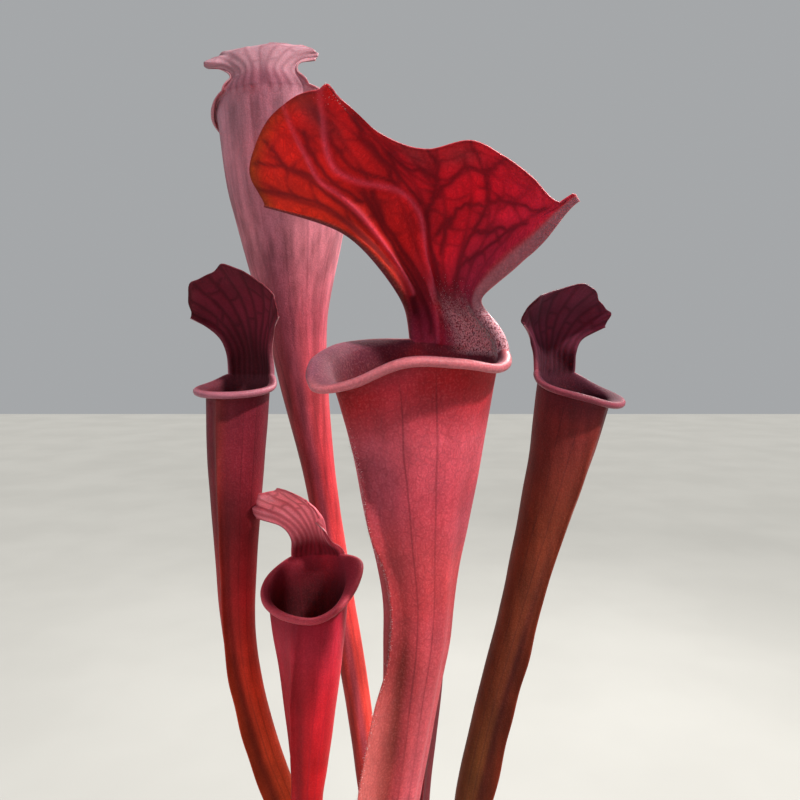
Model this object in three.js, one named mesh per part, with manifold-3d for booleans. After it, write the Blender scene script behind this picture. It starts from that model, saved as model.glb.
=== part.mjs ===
// A potted red trumpet pitcher plant: six pitchers that grow from one rhizome in a nursery pot of peaty soil.
// Units are millimetres and +Z is up. The origin is on the floor, under the middle of the pot.
// The photograph's viewpoint is in front of the plant, at -Y, and looks along +Y.

import * as THREE from 'three';
import { mergeVertices } from 'three/addons/utils/BufferGeometryUtils.js';
import Module from 'manifold-3d';

const wasm = await Module();
wasm.setup();

// Driving dimensions of the pot and the soil
const POT_HEIGHT = 150;
const POT_RADIUS = 95;
const POT_FOOT_RADIUS = 68;
const POT_WALL = 2.2;
const POT_FLOOR = 3;
const COLLAR_HEIGHT = 14;
const COLLAR_STEP = 3;
const POT_SIDES = 36;
const DRAIN_HOLES = 8;
const DRAIN_RADIUS = 5;
const DRAIN_SIDES = 8;
const DRAIN_CIRCLE = 46;
const SOIL_LEVEL = 137;
const SOIL_RINGS = 6;
const SOIL_SIDES = 24;
const GAP = 0.35;

// Driving dimensions that all the pitchers share
const WALL = 0.9;
const STALK_LEVEL = 131;
const CREVICE = 0.6;
const SOCKET_SIDES = 10;
const degrees = THREE.MathUtils.degToRad;

// A row of a pitcher's stations is: height, centre x and y, half width, half depth, wing, turn.
// The turn is the direction that the wing and spout face, in degrees to the left of the photograph's viewpoint.
// A row of a rim is: angle from the spout, height over or under the mouth's level.
// A row of a flare is: angle from the spout, how far the lip stands out.
// A lid's rows run from the pitcher's own left edge to its right edge, and each point is: across, forward, up.
const MAIN = {
  name: 'pitcher_main',
  colour: 0x8e2430,
  stations: [
    [STALK_LEVEL, -13, -28, 6.5, 6, 0, 30],
    [150, -13.3, -28.3, 6, 5.6, 0, 32],
    [200, -17, -36, 5.4, 5.4, 6, 36],
    [270, -15, -44, 6.2, 6.2, 10, 40],
    [340, -8, -48, 7.8, 7.8, 13.5, 42],
    [395, -1.4, -50, 9.3, 9.3, 14.2, 42],
    [421, 2.3, -50, 10.2, 10.2, 14, 41],
    [440, 4.6, -50, 11.2, 11.2, 11, 40],
    [461, 6.7, -50, 13, 12.8, 5, 38],
    [478, 7.5, -50, 14.1, 14, 3, 38],
    [495, 7.2, -50, 16.7, 16.4, 3, 42],
    [511, 6.9, -50, 20.1, 20.2, 5, 46],
    [540, 6.9, -50, 25.8, 25.8, 4.6, 50],
    [563, 6.4, -50, 30.2, 30.4, 2.6, 52],
    [575, 6, -50, 33, 33.6, 1.5, 52],
  ],
  cavity: 200,
  rows: 17,
  front: 11,
  back: 14,
  column: 51,
  rim: [[-129, 8], [-100, 6], [-70, 3], [-42, -2], [-18, -6.5], [0, -10], [18, -7], [46, 0.5], [75, 0], [100, -2.5],
    [115, -1.5], [129, 3]],
  flare: [[-129, 3.6], [-95, 8], [-45, 9], [-15, 9], [0, 10.5], [20, 8], [60, 6.5], [100, 7], [114, 6.5], [129, 3.6]],
  bead: 1.6,
  edge: 4,
  rollRows: 6,
  lidRows: 12,
  lidTurn: 15,
  lidAt: [21, -25, 577],
  lid: {
    neck: [[12, 12, 24], [9.5, 8, 27], [5.5, 5, 30], [0, 4, 31], [-4, 4, 32], [-8, 4.5, 33], [-12, 8, 32],
      [-14.5, 10.5, 30], [-16.5, 13.5, 28.5]],
    shoulder: [[28, 19, 43], [24, 14, 54], [14, 12, 61], [2, 13, 62.5], [-8.5, 17, 66], [-20.5, 24, 72.5], [-34, 31, 67],
      [-39.5, 31, 61], [-36, 28, 51.5]],
    margin: [[53, 30, 55], [36, 27, 69], [15.5, 28, 82.5], [-3.5, 30, 80.5], [-18.5, 38, 84.5], [-34.5, 56, 97],
      [-61, 44, 94], [-76, 34, 78], [-73, 30, 63.5]],
  },
  keel: [5, 2.2],
  ribs: [9, 0.35],
  waves: [0, 0],
};

// The five smaller or farther pitchers are described by fewer numbers. Their hood is: width, height, how far its tip
// leans forward, half width of the column at its neck, how far the tip is drawn out, lean to the pitcher's left.
const LESS = {
  rows: 9,
  front: 4,
  back: 12,
  rollRows: 3,
  lidRows: 6,
  bead: 1.3,
  edge: 2.4,
  keel: [0, 1],
  ribs: [0, 0],
};

const OTHERS = [
  {
    ...LESS,
    name: 'pitcher_tall',
    colour: 0x8a3d4a,
    stations: [
      [STALK_LEVEL, 2, 33, 6.5, 6, 0, 150],
      [150, 2, 33.5, 6, 6, 0, 155],
      [240, -8, 56, 6, 6, 5, 165],
      [312, -18, 78, 6.8, 6.8, 6, 170],
      [380, -28, 86, 7.4, 7.4, 6, 175],
      [440, -38, 87, 8, 8, 6, 180],
      [500, -47.5, 87, 8.9, 8.9, 5, 183],
      [555, -56.5, 87, 13.5, 13.5, 4, 186],
      [600, -62, 87, 18.7, 19, 4, 188],
      [647, -63.5, 87, 29.6, 30, 4, 190],
      [682, -65, 87, 36, 35.5, 3, 190],
      [711, -66.5, 87, 38, 37.5, 2, 190],
    ],
    rows: 11,
    cavity: 260,
    column: 34,
    rim: [[-146, 8], [-90, 0], [-30, -5], [0, -8], [30, -5], [90, 0], [146, 8]],
    flare: [[-146, 3], [-100, 4], [0, 10], [100, 4], [146, 3]],
    lidTurn: 190,
    hood: [64, 32, 26, 17, 3, 7],
    waves: [4, 3],
  },
  {
    ...LESS,
    name: 'pitcher_low',
    colour: 0x9c1f30,
    stations: [
      [STALK_LEVEL, -27, 4, 6, 5.5, 0, 30],
      [150, -27.3, 4.2, 5.4, 5.2, 0, 32],
      [240, -40, 14, 5.2, 5.2, 5, 38],
      [300, -46, 19, 5.4, 5.4, 5, 40],
      [345, -47.5, 20, 6.7, 6.7, 5, 40],
      [364, -47, 20, 9, 9, 4, 38],
      [391, -46.5, 20, 12.3, 12, 3.4, 32],
      [420, -46, 20, 16, 16, 3, 22],
      [443, -46.5, 20, 19, 18.6, 2, 14],
      [458, -47, 20, 20, 19.4, 1, 10],
    ],
    cavity: 220,
    column: 36,
    rim: [[-144, 11], [-90, 3], [-65, -1], [-30, -5], [10, -8], [30, -8], [60, -4], [90, 3], [120, 10], [144, 13]],
    flare: [[-144, 2.2], [-70, 3.5], [0, 4], [60, 4], [90, 6], [120, 7.5], [144, 3]],
    lidTurn: 15,
    hood: [35, 38, 20, 9.5, 3, -13],
    waves: [4, 2.2],
  },
  {
    ...LESS,
    name: 'pitcher_left',
    colour: 0x6f1c28,
    stations: [
      [STALK_LEVEL, -26, 34, 6, 5.5, 0, 20],
      [150, -26.5, 34.3, 5.6, 5.4, 0, 21],
      [250, -44, 41, 5.6, 5.6, 6, 25],
      [326, -62, 44, 6.2, 6.2, 8, 28],
      [360, -73.5, 43, 6.8, 6.8, 8, 28],
      [398, -83, 41, 7.5, 7.5, 6, 26],
      [430, -87.5, 40, 8.5, 8.5, 4, 24],
      [480, -88, 40, 11.4, 11.4, 3, 22],
      [528, -87, 40, 15, 15, 2.5, 20],
      [558, -85.5, 40, 16.3, 16.3, 2, 20],
    ],
    cavity: 250,
    column: 44,
    rim: [[-136, 8], [-90, 2], [0, -2], [90, 2], [136, 8]],
    flare: [[-136, 2.4], [-90, 4.5], [0, 7], [90, 4.5], [136, 2.4]],
    lidTurn: 15,
    hood: [52, 54, 26, 11.5, 4, -3],
    waves: [3, 2.2],
  },
  {
    ...LESS,
    name: 'pitcher_right',
    colour: 0x5a1f24,
    stations: [
      [STALK_LEVEL, 24, 30, 6.5, 6, 0, -20],
      [150, 24.2, 30.4, 6, 6, 0, -22],
      [250, 31, 46, 6.6, 6.6, 7, -30],
      [319, 40, 58, 8, 8, 9, -35],
      [354, 47.5, 60, 8.6, 8.6, 9, -35],
      [379, 53.5, 60, 9.2, 9.2, 8, -35],
      [412, 62.5, 60, 10, 10, 6, -35],
      [441, 70, 60, 11, 11, 4, -35],
      [484, 81, 60, 14, 14, 3, -35],
      [520, 90, 60, 17, 17, 3, -35],
      [556, 97, 60, 19, 19, 2, -35],
    ],
    cavity: 260,
    column: 44,
    rim: [[-136, 12], [-90, 4], [-30, -3], [0, -6], [30, -5], [90, 1], [136, 10]],
    flare: [[-136, 2.6], [-90, 5], [0, 8], [90, 5], [136, 2.6]],
    lidTurn: -25,
    hood: [58, 46, 22, 13, 4, 0],
    waves: [3, 2.2],
  },
  {
    ...LESS,
    name: 'pitcher_hidden',
    colour: 0x5c1626,
    stations: [
      [STALK_LEVEL, 8, -2, 6, 5.5, 0, -10],
      [150, 8, -2, 5.4, 5.4, 0, -12],
      [260, 7, 0, 5.6, 5.6, 5, -15],
      [355, 7, 2, 7, 7, 5, -15],
      [407, 11, 4, 8.6, 8.6, 4, -15],
      [440, 13, 4, 9.6, 9.6, 3, -15],
      [480, 14, 4, 12.4, 12.4, 2, -15],
      [504, 14, 4, 15, 15, 1.4, -15],
    ],
    rows: 7,
    cavity: 250,
    column: 44,
    rim: [[-136, 7], [-90, 2], [0, -3], [90, 2], [136, 7]],
    flare: [[-136, 2.8], [-90, 3.5], [0, 4.5], [90, 3.5], [136, 2.8]],
    lidTurn: -10,
    hood: [40, 30, 14, 9.5, 3, 0],
    waves: [3, 1.4],
  },
];

// A smooth curve through the rows of a table, whose first number says where each row applies
function follow(rows, at) {
  const last = rows.length - 1;
  let k = 0;
  while (k < last - 1 && at > rows[k + 1][0]) {
    k += 1;
  }
  const slope = (i, column) => {
    const before = rows[Math.max(i - 1, 0)];
    const after = rows[Math.min(i + 1, last)];
    return (after[column] - before[column]) / (after[0] - before[0]);
  };
  const span = rows[k + 1][0] - rows[k][0];
  const u = THREE.MathUtils.clamp((at - rows[k][0]) / span, 0, 1);
  const rise = u * u * (3 - 2 * u);
  return rows[k].slice(1).map((from, i) => {
    const to = rows[k + 1][i + 1];
    const leave = slope(k, i + 1) * span * u * (1 - u) * (1 - u);
    const arrive = slope(k + 1, i + 1) * span * u * u * (1 - u);
    return from + (to - from) * rise + leave - arrive;
  });
}

const facing = (turn) => new THREE.Vector3(-Math.sin(degrees(turn)), -Math.cos(degrees(turn)), 0);
const leftOf = (front) => new THREE.Vector3(-front.y, front.x, 0);
const smoothstep = THREE.MathUtils.smoothstep;

// The wing's cross section: half thickness low on the tube and at a wide rim, and share of the wing's height
const WING_SECTION = [[0.5, 2.2, 1], [1.15, 4.6, 0.5], [2.9, 8, 0.1]];

// The angles round a ring, from the column's left edge round its back to its right edge, and on round the front
function ringAngles(pitcher, wide, level) {
  const open = 180 - pitcher.column;
  const angles = [];
  for (let j = 0; j <= pitcher.back; j += 1) {
    angles.push(open + (2 * pitcher.column * j) / pitcher.back);
  }
  const near = WING_SECTION.map(([low, high]) => {
    const aside = THREE.MathUtils.lerp(low, high * Math.min(wide / 27, 1), level);
    return THREE.MathUtils.radToDeg(Math.asin(Math.min(aside / wide, 0.75)));
  });
  const side = [];
  for (let j = 1; j <= pitcher.front; j += 1) {
    side.push(open + ((near[2] - open) * j) / pitcher.front);
  }
  const half = [...side, near[1], near[0]];
  half.forEach((angle) => angles.push(360 - angle));
  half.reverse().forEach((angle) => angles.push(360 + angle));
  return angles;
}

// How much of the wing's height each place on the ring stands out by
function wingShares(pitcher) {
  const shares = new Array(pitcher.back + pitcher.front).fill(0);
  const half = [WING_SECTION[2][2], WING_SECTION[1][2], WING_SECTION[0][2]];
  return [...shares, ...half, ...half.reverse(), ...new Array(pitcher.front - 1).fill(0)];
}

// One ring of the tube, at a height between the foot and the mouth
function ring(pitcher, height, grow = 0) {
  const { stations } = pitcher;
  const mouth = stations[stations.length - 1][0];
  const [x, y, wide, deep, wing, turn] = follow(stations, height);
  const front = facing(turn);
  const left = leftOf(front);
  const level = smoothstep(height, mouth - 60, mouth);
  const lift = smoothstep(height, mouth - 45, mouth);
  const [count, size] = pitcher.ribs;
  const points = ringAngles(pitcher, wide, level).map((angle) => {
    const fromSpout = THREE.MathUtils.euclideanModulo(angle + 180, 360) - 180;
    const rib = size * Math.cos(count * degrees(angle)) * smoothstep(Math.abs(fromSpout), 25, 50);
    const rimAngle = THREE.MathUtils.clamp(fromSpout, pitcher.rim[0][0], pitcher.rim[pitcher.rim.length - 1][0]);
    const beyond = Math.max(Math.abs(fromSpout) - 180 + pitcher.column, 0) / pitcher.column;
    const ends = (pitcher.rim[0][1] + pitcher.rim[pitcher.rim.length - 1][1]) / 2;
    const [rise] = follow(pitcher.rim, rimAngle);
    const rimHeight = THREE.MathUtils.lerp(rise, ends, smoothstep(beyond, 0, 1));
    return new THREE.Vector3(x, y, height + rimHeight * lift)
      .addScaledVector(front, (deep + rib + grow) * Math.cos(degrees(angle)))
      .addScaledVector(left, (wide + rib + grow) * Math.sin(degrees(angle)));
  });
  return { points, front, wing };
}

// The lid's three rows of guide points for the pitchers that are described by a hood
function hoodRows([width, height, lean, neck, drawn, aside]) {
  const count = 9;
  const rows = { neck: [], shoulder: [], margin: [] };
  for (let i = 0; i < count; i += 1) {
    const t = 1 - (2 * i) / (count - 1);
    const swing = degrees(t * 104);
    const tip = drawn * Math.exp(-((t / 0.2) ** 2));
    rows.neck.push([neck * t + aside * 0.15, lean * 0.05 + 5 * t * t, height * 0.34 * (1 - 0.25 * t * t)]);
    rows.shoulder.push([
      (neck * 0.5 + width * 0.2) * Math.sin(swing) + aside * 0.5,
      lean * 0.34,
      height * (0.5 + 0.22 * Math.cos(swing)),
    ]);
    rows.margin.push([
      0.5 * width * Math.sin(swing) + aside,
      lean * (0.72 + 0.28 * Math.cos(swing)) + tip,
      height * (0.66 + 0.34 * Math.cos(swing)) + tip * 0.6,
    ]);
  }
  return rows;
}

// The lid's surface: across runs from 1 at the left edge to -1 at the right edge, along from 0 at the mouth to 1
function lidPoint(pitcher, rows, foot, under, across, along) {
  const front = facing(pitcher.lidTurn);
  const left = leftOf(front);
  const place = (list) => {
    const table = list.map((row, i) => [(2 * i) / (list.length - 1) - 1, ...row]);
    const [aside, forward, up] = follow(table, -across);
    const at = new THREE.Vector3(...pitcher.lidAt);
    return at.addScaledVector(front, forward).addScaledVector(left, aside).setZ(at.z + up);
  };
  const neck = place(rows.neck);
  const below = under.clone().sub(foot).clampLength(0, 1.6 * neck.distanceTo(foot)).add(foot);
  const marks = [below, foot, neck, place(rows.shoulder), place(rows.margin)];
  const [x, y, z] = follow(marks.map((mark, i) => [(i - 1) / 3, mark.x, mark.y, mark.z]), along);
  const [count, size] = pitcher.waves;
  const wave = size * Math.sin(Math.PI * count * across) * smoothstep(along, 0.45, 1) * along;
  const [keelColumn, keelHeight] = pitcher.keel;
  const keelAt = keelColumn ? 1 - (2 * keelColumn) / (rows.margin.length - 1) : 0;
  const ridge = keelHeight * Math.exp(-(((across - keelAt) / 0.11) ** 2)) * (1 - 0.6 * along);
  return new THREE.Vector3(x, y, z).addScaledVector(front, wave + ridge).setZ(z + wave * 0.4);
}

// Area-weighted normals of a sheet of triangles
function sheetNormals(points, faces) {
  const normals = points.map(() => new THREE.Vector3());
  faces.forEach(([a, b, c]) => {
    const ab = points[b].clone().sub(points[a]);
    const normal = ab.cross(points[c].clone().sub(points[a]));
    [a, b, c].forEach((i) => normals[i].add(normal));
  });
  return normals.map((normal) => normal.normalize());
}

const addQuad = (faces, a, b, c, d) => {
  faces.push([a, b, c], [a, c, d]);
};

// The lip's section round the mouth, by its number of rows. Each row goes on in a direction, from 0 for straight up
// through 90 for outwards to past 180 for back under the bead, by shares of the lip's width and of the bead's radius.
const LIP_SECTIONS = {
  6: [[35, 0.51, 0], [62, 0.43, 0], [82, 0.32, 0], [120, 0, 1], [180, 0, 1], [240, 0, 1]],
  3: [[45, 1.05, 0], [108, 0.25, 1], [215, 0, 1.6]],
};

// How far up and how far out each row of the lip lies. Along the column and the lid's lobes the roll opens into a
// margin that only turns back by its swing.
function lipSection(rows, { flare, bead, rolled, swing }) {
  let up = 0;
  let out = 0;
  return LIP_SECTIONS[rows].map(([direction, stretch, curl], k) => {
    const length = THREE.MathUtils.lerp(flare / rows, stretch * (flare - bead) + curl * bead, rolled);
    const turn = degrees(THREE.MathUtils.lerp((swing * (k + 0.5)) / rows, direction, rolled));
    up += length * Math.cos(turn);
    out += length * Math.sin(turn);
    return [up, out];
  });
}

// One pitcher: a thin sheet that is a tube below and a column with a lid above, with a rolled lip round its mouth,
// thickened to a wall, on a solid stalk
function pitcherGeometry(pitcher) {
  const { stations } = pitcher;
  const mouth = stations[stations.length - 1][0];
  const count = ring(pitcher, mouth).points.length;
  const points = [];
  const faces = [];
  const push = (list) => list.map((point) => points.push(point) - 1);

  const heights = [];
  for (let i = 0; i <= pitcher.rows; i += 1) {
    const share = i / pitcher.rows;
    heights.push(THREE.MathUtils.lerp(pitcher.cavity, mouth, share ** 0.8));
  }
  const rings = heights.map((height) => ring(pitcher, height));
  const rows = rings.map(({ points: list }) => push(list));
  for (let i = 0; i < pitcher.rows; i += 1) {
    for (let j = 0; j < count; j += 1) {
      const next = (j + 1) % count;
      addQuad(faces, rows[i][j], rows[i][next], rows[i + 1][next], rows[i + 1][j]);
    }
  }

  const guide = pitcher.lid ?? hoodRows(pitcher.hood);
  const top = rows[pitcher.rows];
  const under = rows[pitcher.rows - 2];
  const backMiddle = points[top[pitcher.back / 2]];
  const described = { lidAt: [backMiddle.x, backMiddle.y, backMiddle.z], ...pitcher };
  const lid = [top.slice(0, pitcher.back + 1)];
  for (let m = 1; m <= pitcher.lidRows; m += 1) {
    const along = m / pitcher.lidRows;
    lid.push(push(lid[0].map((foot, j) => {
      const across = 1 - (2 * j) / pitcher.back;
      return lidPoint(described, guide, points[foot], points[under[j]], across, along);
    })));
    for (let j = 0; j < pitcher.back; j += 1) {
      addQuad(faces, lid[m - 1][j], lid[m - 1][j + 1], lid[m][j + 1], lid[m][j]);
    }
  }

  const leftEdge = lid.map((row) => row[0]);
  const rightEdge = lid.map((row) => row[pitcher.back]);
  const mouthArc = [...top.slice(pitcher.back), top[0]];
  const path = [...rightEdge.slice(1).reverse(), ...mouthArc, ...leftEdge.slice(1)];
  const angles = ringAngles(pitcher, stations[stations.length - 1][3], 1);
  const arcAngles = [...angles.slice(pitcher.back), angles[0] + 360].map((angle) => angle - 360);
  const lips = path.map((_, i) => {
    const onArc = i - (rightEdge.length - 1);
    if (onArc >= 0 && onArc < arcAngles.length) {
      const [flare] = follow(pitcher.flare, arcAngles[onArc]);
      const end = 180 - pitcher.column;
      return { flare, rolled: 1 - 0.5 * smoothstep(Math.abs(arcAngles[onArc]), end - 30, end), swing: 60 };
    }
    const away = onArc < 0 ? -onArc : onArc - arcAngles.length + 1;
    const share = away / pitcher.lidRows;
    const start = onArc < 0 ? pitcher.flare[0][1] : pitcher.flare[pitcher.flare.length - 1][1];
    const taper = 1 - smoothstep(share, 0.5, 1);
    return {
      flare: THREE.MathUtils.lerp(start, pitcher.edge, smoothstep(share, 0, 0.3)) * (0.3 + 0.7 * taper),
      rolled: 0.5 - 0.5 * smoothstep(share, 0, 0.4),
      swing: THREE.MathUtils.lerp(60, 110, smoothstep(share, 0, 0.4)) * taper,
    };
  });
  const normals = sheetNormals(points, faces);
  let outs = path.map((at) => normals[at].clone());
  let ups = path.map((at, i) => {
    const from = points[path[Math.max(i - 1, 0)]];
    const to = points[path[Math.min(i + 1, path.length - 1)]];
    return outs[i].clone().cross(to.clone().sub(from)).normalize();
  });
  const relax = (list) => list.map((vector, i) => {
    const sum = vector.clone().multiplyScalar(2);
    return sum.add(list[Math.max(i - 1, 0)]).add(list[Math.min(i + 1, list.length - 1)]).normalize();
  });
  for (let pass = 0; pass < 3; pass += 1) {
    outs = relax(outs);
    ups = relax(ups);
  }
  const edges = [path];
  for (let k = 0; k < pitcher.rollRows; k += 1) {
    edges.push(path.map((at, i) => {
      const bead = Math.min(pitcher.bead, lips[i].flare * 0.42);
      const [up, out] = lipSection(pitcher.rollRows, { ...lips[i], bead })[k];
      return points.push(points[at].clone().addScaledVector(ups[i], up).addScaledVector(outs[i], out)) - 1;
    }));
    for (let i = 0; i < path.length - 1; i += 1) {
      addQuad(faces, edges[k][i], edges[k][i + 1], edges[k + 1][i + 1], edges[k + 1][i]);
    }
  }

  // The two faces of the wall, with the wing on the outer one only
  const skin = sheetNormals(points, faces);
  const outer = points.map((point, i) => point.clone().addScaledVector(skin[i], WALL / 2));
  const inner = points.map((point, i) => point.clone().addScaledVector(skin[i], -WALL / 2));
  const shares = wingShares(pitcher);
  rings.forEach(({ front, wing }, i) => {
    rows[i].forEach((at, j) => outer[at].addScaledVector(front, wing * shares[j]));
  });
  const solid = [...outer, ...inner];
  const triangles = [];
  faces.forEach(([a, b, c]) => {
    triangles.push([a, b, c]);
    triangles.push([a + points.length, c + points.length, b + points.length]);
  });
  const ends = edges.slice(1, -1);
  const rimLoop = [
    ...edges[pitcher.rollRows],
    ...ends.map((row) => row[path.length - 1]).reverse(),
    ...lid[pitcher.lidRows],
    ...ends.map((row) => row[0]),
  ];
  rimLoop.forEach((at, i) => {
    const next = rimLoop[(i + 1) % rimLoop.length];
    addQuad(triangles, at, next, next + points.length, at + points.length);
  });

  // The stalk below the cavity, and the two caps
  let below = rows[0];
  const stalk = stations.filter(([height]) => height < pitcher.cavity - 5).map(([height]) => height).reverse();
  stalk.forEach((height) => {
    const { points: list, front, wing } = ring(pitcher, height);
    const row = list.map((point, j) => solid.push(point.addScaledVector(front, wing * shares[j])) - 1);
    for (let j = 0; j < count; j += 1) {
      const next = (j + 1) % count;
      addQuad(triangles, row[j], row[next], below[next], below[j]);
    }
    below = row;
  });
  const middle = (list) => {
    const sum = list.reduce((total, at) => total.add(solid[at]), new THREE.Vector3());
    return solid.push(sum.divideScalar(list.length)) - 1;
  };
  const floor = middle(below);
  const pit = rows[0].map((at) => at + points.length);
  const pitFloor = middle(pit);
  for (let j = 0; j < count; j += 1) {
    const next = (j + 1) % count;
    triangles.push([floor, below[next], below[j]]);
    triangles.push([pitFloor, pit[j], pit[next]]);
  }
  return bodyGeometry(solid, triangles);
}

function bodyGeometry(points, triangles) {
  const geometry = new THREE.BufferGeometry();
  geometry.setAttribute('position', new THREE.Float32BufferAttribute(points.flatMap((p) => [p.x, p.y, p.z]), 3));
  geometry.setIndex(triangles.flat());
  return geometry;
}

// A closed geometry as a solid for the boolean steps, and back
function toSolid(geometry) {
  const bare = geometry.clone();
  bare.deleteAttribute('normal');
  bare.deleteAttribute('uv');
  const merged = mergeVertices(bare, 1e-4);
  return new wasm.Manifold(new wasm.Mesh({
    numProp: 3,
    vertProperties: new Float32Array(merged.attributes.position.array),
    triVerts: new Uint32Array(merged.index.array),
  }));
}

function toGeometry(solid) {
  const mesh = solid.getMesh();
  const geometry = new THREE.BufferGeometry();
  geometry.setAttribute('position', new THREE.BufferAttribute(mesh.vertProperties, 3));
  geometry.setIndex(new THREE.BufferAttribute(mesh.triVerts, 1));
  return geometry;
}

// A plain hole for a pitcher's foot
function socketTool([x, y, wide], grow) {
  const depth = 40;
  const radius = (wide + grow) / Math.cos(Math.PI / SOCKET_SIDES);
  const tool = new THREE.CylinderGeometry(radius, radius, depth, SOCKET_SIDES);
  tool.rotateX(Math.PI / 2);
  tool.translate(x, y, STALK_LEVEL - GAP + depth / 2);
  return toSolid(tool);
}

// The rhizome: a knobbly stem that lies half in the soil, thicker under each pitcher and ringed by old leaf scars
function rhizomeLump([x, y, z, across, along, high], grow) {
  const geometry = new THREE.SphereGeometry(1, 8, 5);
  geometry.rotateX(Math.PI / 2);
  const position = geometry.attributes.position;
  for (let i = 0; i < position.count; i += 1) {
    const point = new THREE.Vector3().fromBufferAttribute(position, i);
    const scar = 1 + 0.05 * Math.sin(9 * point.z + 2 * Math.atan2(point.y, point.x)) * (1 - point.z ** 4);
    point.multiplyScalar(scar);
    position.setXYZ(i, x + point.x * (across + grow), y + point.y * (along + grow), z + point.z * (high + grow));
  }
  return toSolid(geometry);
}

function rhizomeSolid(feet, grow) {
  const lumps = feet.map(([x, y]) => [x, y, 130, 13, 12.5, 14]);
  lumps.push([-8, 16, 127, 20, 21, 12], [10, 18, 127, 16, 18, 12], [-7, -14, 127, 14, 15, 12]);
  return wasm.Manifold.union(lumps.map((lump) => rhizomeLump(lump, grow)));
}

// The soil: a peaty fill whose top is uneven, a little lower at the pot's edge
function soilSolid() {
  const inside = (height) => THREE.MathUtils.mapLinear(height, 0, POT_HEIGHT, POT_FOOT_RADIUS, POT_RADIUS - COLLAR_STEP)
    - POT_WALL - GAP;
  const points = [];
  const triangles = [];
  const rows = [];
  for (let i = 1; i <= SOIL_RINGS; i += 1) {
    const row = [];
    for (let j = 0; j < SOIL_SIDES; j += 1) {
      const share = i / SOIL_RINGS;
      const angle = (2 * Math.PI * (j + (i % 2) / 2)) / SOIL_SIDES;
      const radius = share * inside(SOIL_LEVEL - 4);
      const x = radius * Math.cos(angle);
      const y = radius * Math.sin(angle);
      const crumb = 1.6 * Math.sin(x / 9 + 1) * Math.cos(y / 11) + 0.9 * Math.sin(x / 4.3 - y / 5.1);
      row.push(points.push(new THREE.Vector3(x, y, SOIL_LEVEL + crumb - 3 * share ** 4)) - 1);
    }
    rows.push(row);
  }
  const bottom = [];
  for (let j = 0; j < SOIL_SIDES; j += 1) {
    const angle = (2 * Math.PI * (j + (SOIL_RINGS % 2) / 2)) / SOIL_SIDES;
    const radius = inside(POT_FLOOR + GAP);
    bottom.push(points.push(new THREE.Vector3(radius * Math.cos(angle), radius * Math.sin(angle), POT_FLOOR + GAP)) - 1);
  }
  const crown = points.push(new THREE.Vector3(0, 0, SOIL_LEVEL + 1.3)) - 1;
  const base = points.push(new THREE.Vector3(0, 0, POT_FLOOR + GAP)) - 1;
  const outer = rows[SOIL_RINGS - 1];
  for (let j = 0; j < SOIL_SIDES; j += 1) {
    const next = (j + 1) % SOIL_SIDES;
    triangles.push([crown, rows[0][j], rows[0][next]]);
    triangles.push([base, bottom[next], bottom[j]]);
    addQuad(triangles, bottom[j], bottom[next], outer[next], outer[j]);
    for (let i = 0; i < SOIL_RINGS - 1; i += 1) {
      const [near, far] = [rows[i], rows[i + 1]];
      if (i % 2 === 0) {
        triangles.push([near[j], far[j], near[next]], [near[next], far[j], far[next]]);
      } else {
        triangles.push([near[j], far[j], far[next]], [near[j], far[next], near[next]]);
      }
    }
  }
  return toSolid(bodyGeometry(points, triangles));
}

// The pot: a round moulded nursery pot with a stepped collar and drain holes round the edge of its floor
function potSolid() {
  const outside = (height) => THREE.MathUtils.mapLinear(
    height, 0, POT_HEIGHT, POT_FOOT_RADIUS, POT_RADIUS - COLLAR_STEP);
  const collar = POT_HEIGHT - COLLAR_HEIGHT;
  const profile = [
    [0, 0],
    [POT_FOOT_RADIUS - 1.5, 0],
    [outside(1.5), 1.5],
    [outside(collar), collar],
    [POT_RADIUS - 0.6, collar + 0.6],
    [POT_RADIUS, collar + 1.5],
    [POT_RADIUS, POT_HEIGHT - 1],
    [POT_RADIUS - 1, POT_HEIGHT],
    [POT_RADIUS - COLLAR_STEP - POT_WALL + 0.8, POT_HEIGHT],
    [POT_RADIUS - COLLAR_STEP - POT_WALL, POT_HEIGHT - 0.8],
    [outside(POT_FLOOR) - POT_WALL, POT_FLOOR],
    [0, POT_FLOOR],
  ];
  const lathe = new THREE.LatheGeometry(profile.map(([radius, height]) => new THREE.Vector2(radius, height)), POT_SIDES);
  lathe.rotateX(Math.PI / 2);
  let pot = toSolid(lathe);
  for (let i = 0; i < DRAIN_HOLES; i += 1) {
    const angle = (2 * Math.PI * (i + 0.5)) / DRAIN_HOLES;
    const drill = new THREE.CylinderGeometry(DRAIN_RADIUS, DRAIN_RADIUS, 20, DRAIN_SIDES);
    drill.rotateX(Math.PI / 2);
    drill.translate(DRAIN_CIRCLE * Math.cos(angle), DRAIN_CIRCLE * Math.sin(angle), 0);
    pot = pot.subtract(toSolid(drill));
  }
  return pot;
}

function addNode(group, name, geometry, colour, roughness) {
  const material = new THREE.MeshStandardMaterial({ color: colour, roughness, metalness: 0 });
  const mesh = new THREE.Mesh(geometry, material);
  mesh.name = name;
  group.add(mesh);
}

const pitchers = [MAIN, ...OTHERS];
const feet = pitchers.map(({ stations }) => stations[0].slice(1, 4));
const sockets = wasm.Manifold.union(feet.map((foot) => socketTool(foot, GAP + CREVICE)));
const rhizome = rhizomeSolid(feet, 0).subtract(sockets);
const soil = soilSolid().subtract(rhizomeSolid(feet, GAP)).subtract(sockets);

const group = new THREE.Group();
addNode(group, 'pot', toGeometry(potSolid()), 0x1d1c1c, 0.55);
addNode(group, 'soil', toGeometry(soil), 0x2c1d14, 1);
addNode(group, 'rhizome', toGeometry(rhizome), 0x4a2a22, 0.8);
pitchers.forEach((pitcher) => addNode(group, pitcher.name, pitcherGeometry(pitcher), pitcher.colour, 0.5));

export default group;
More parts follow.
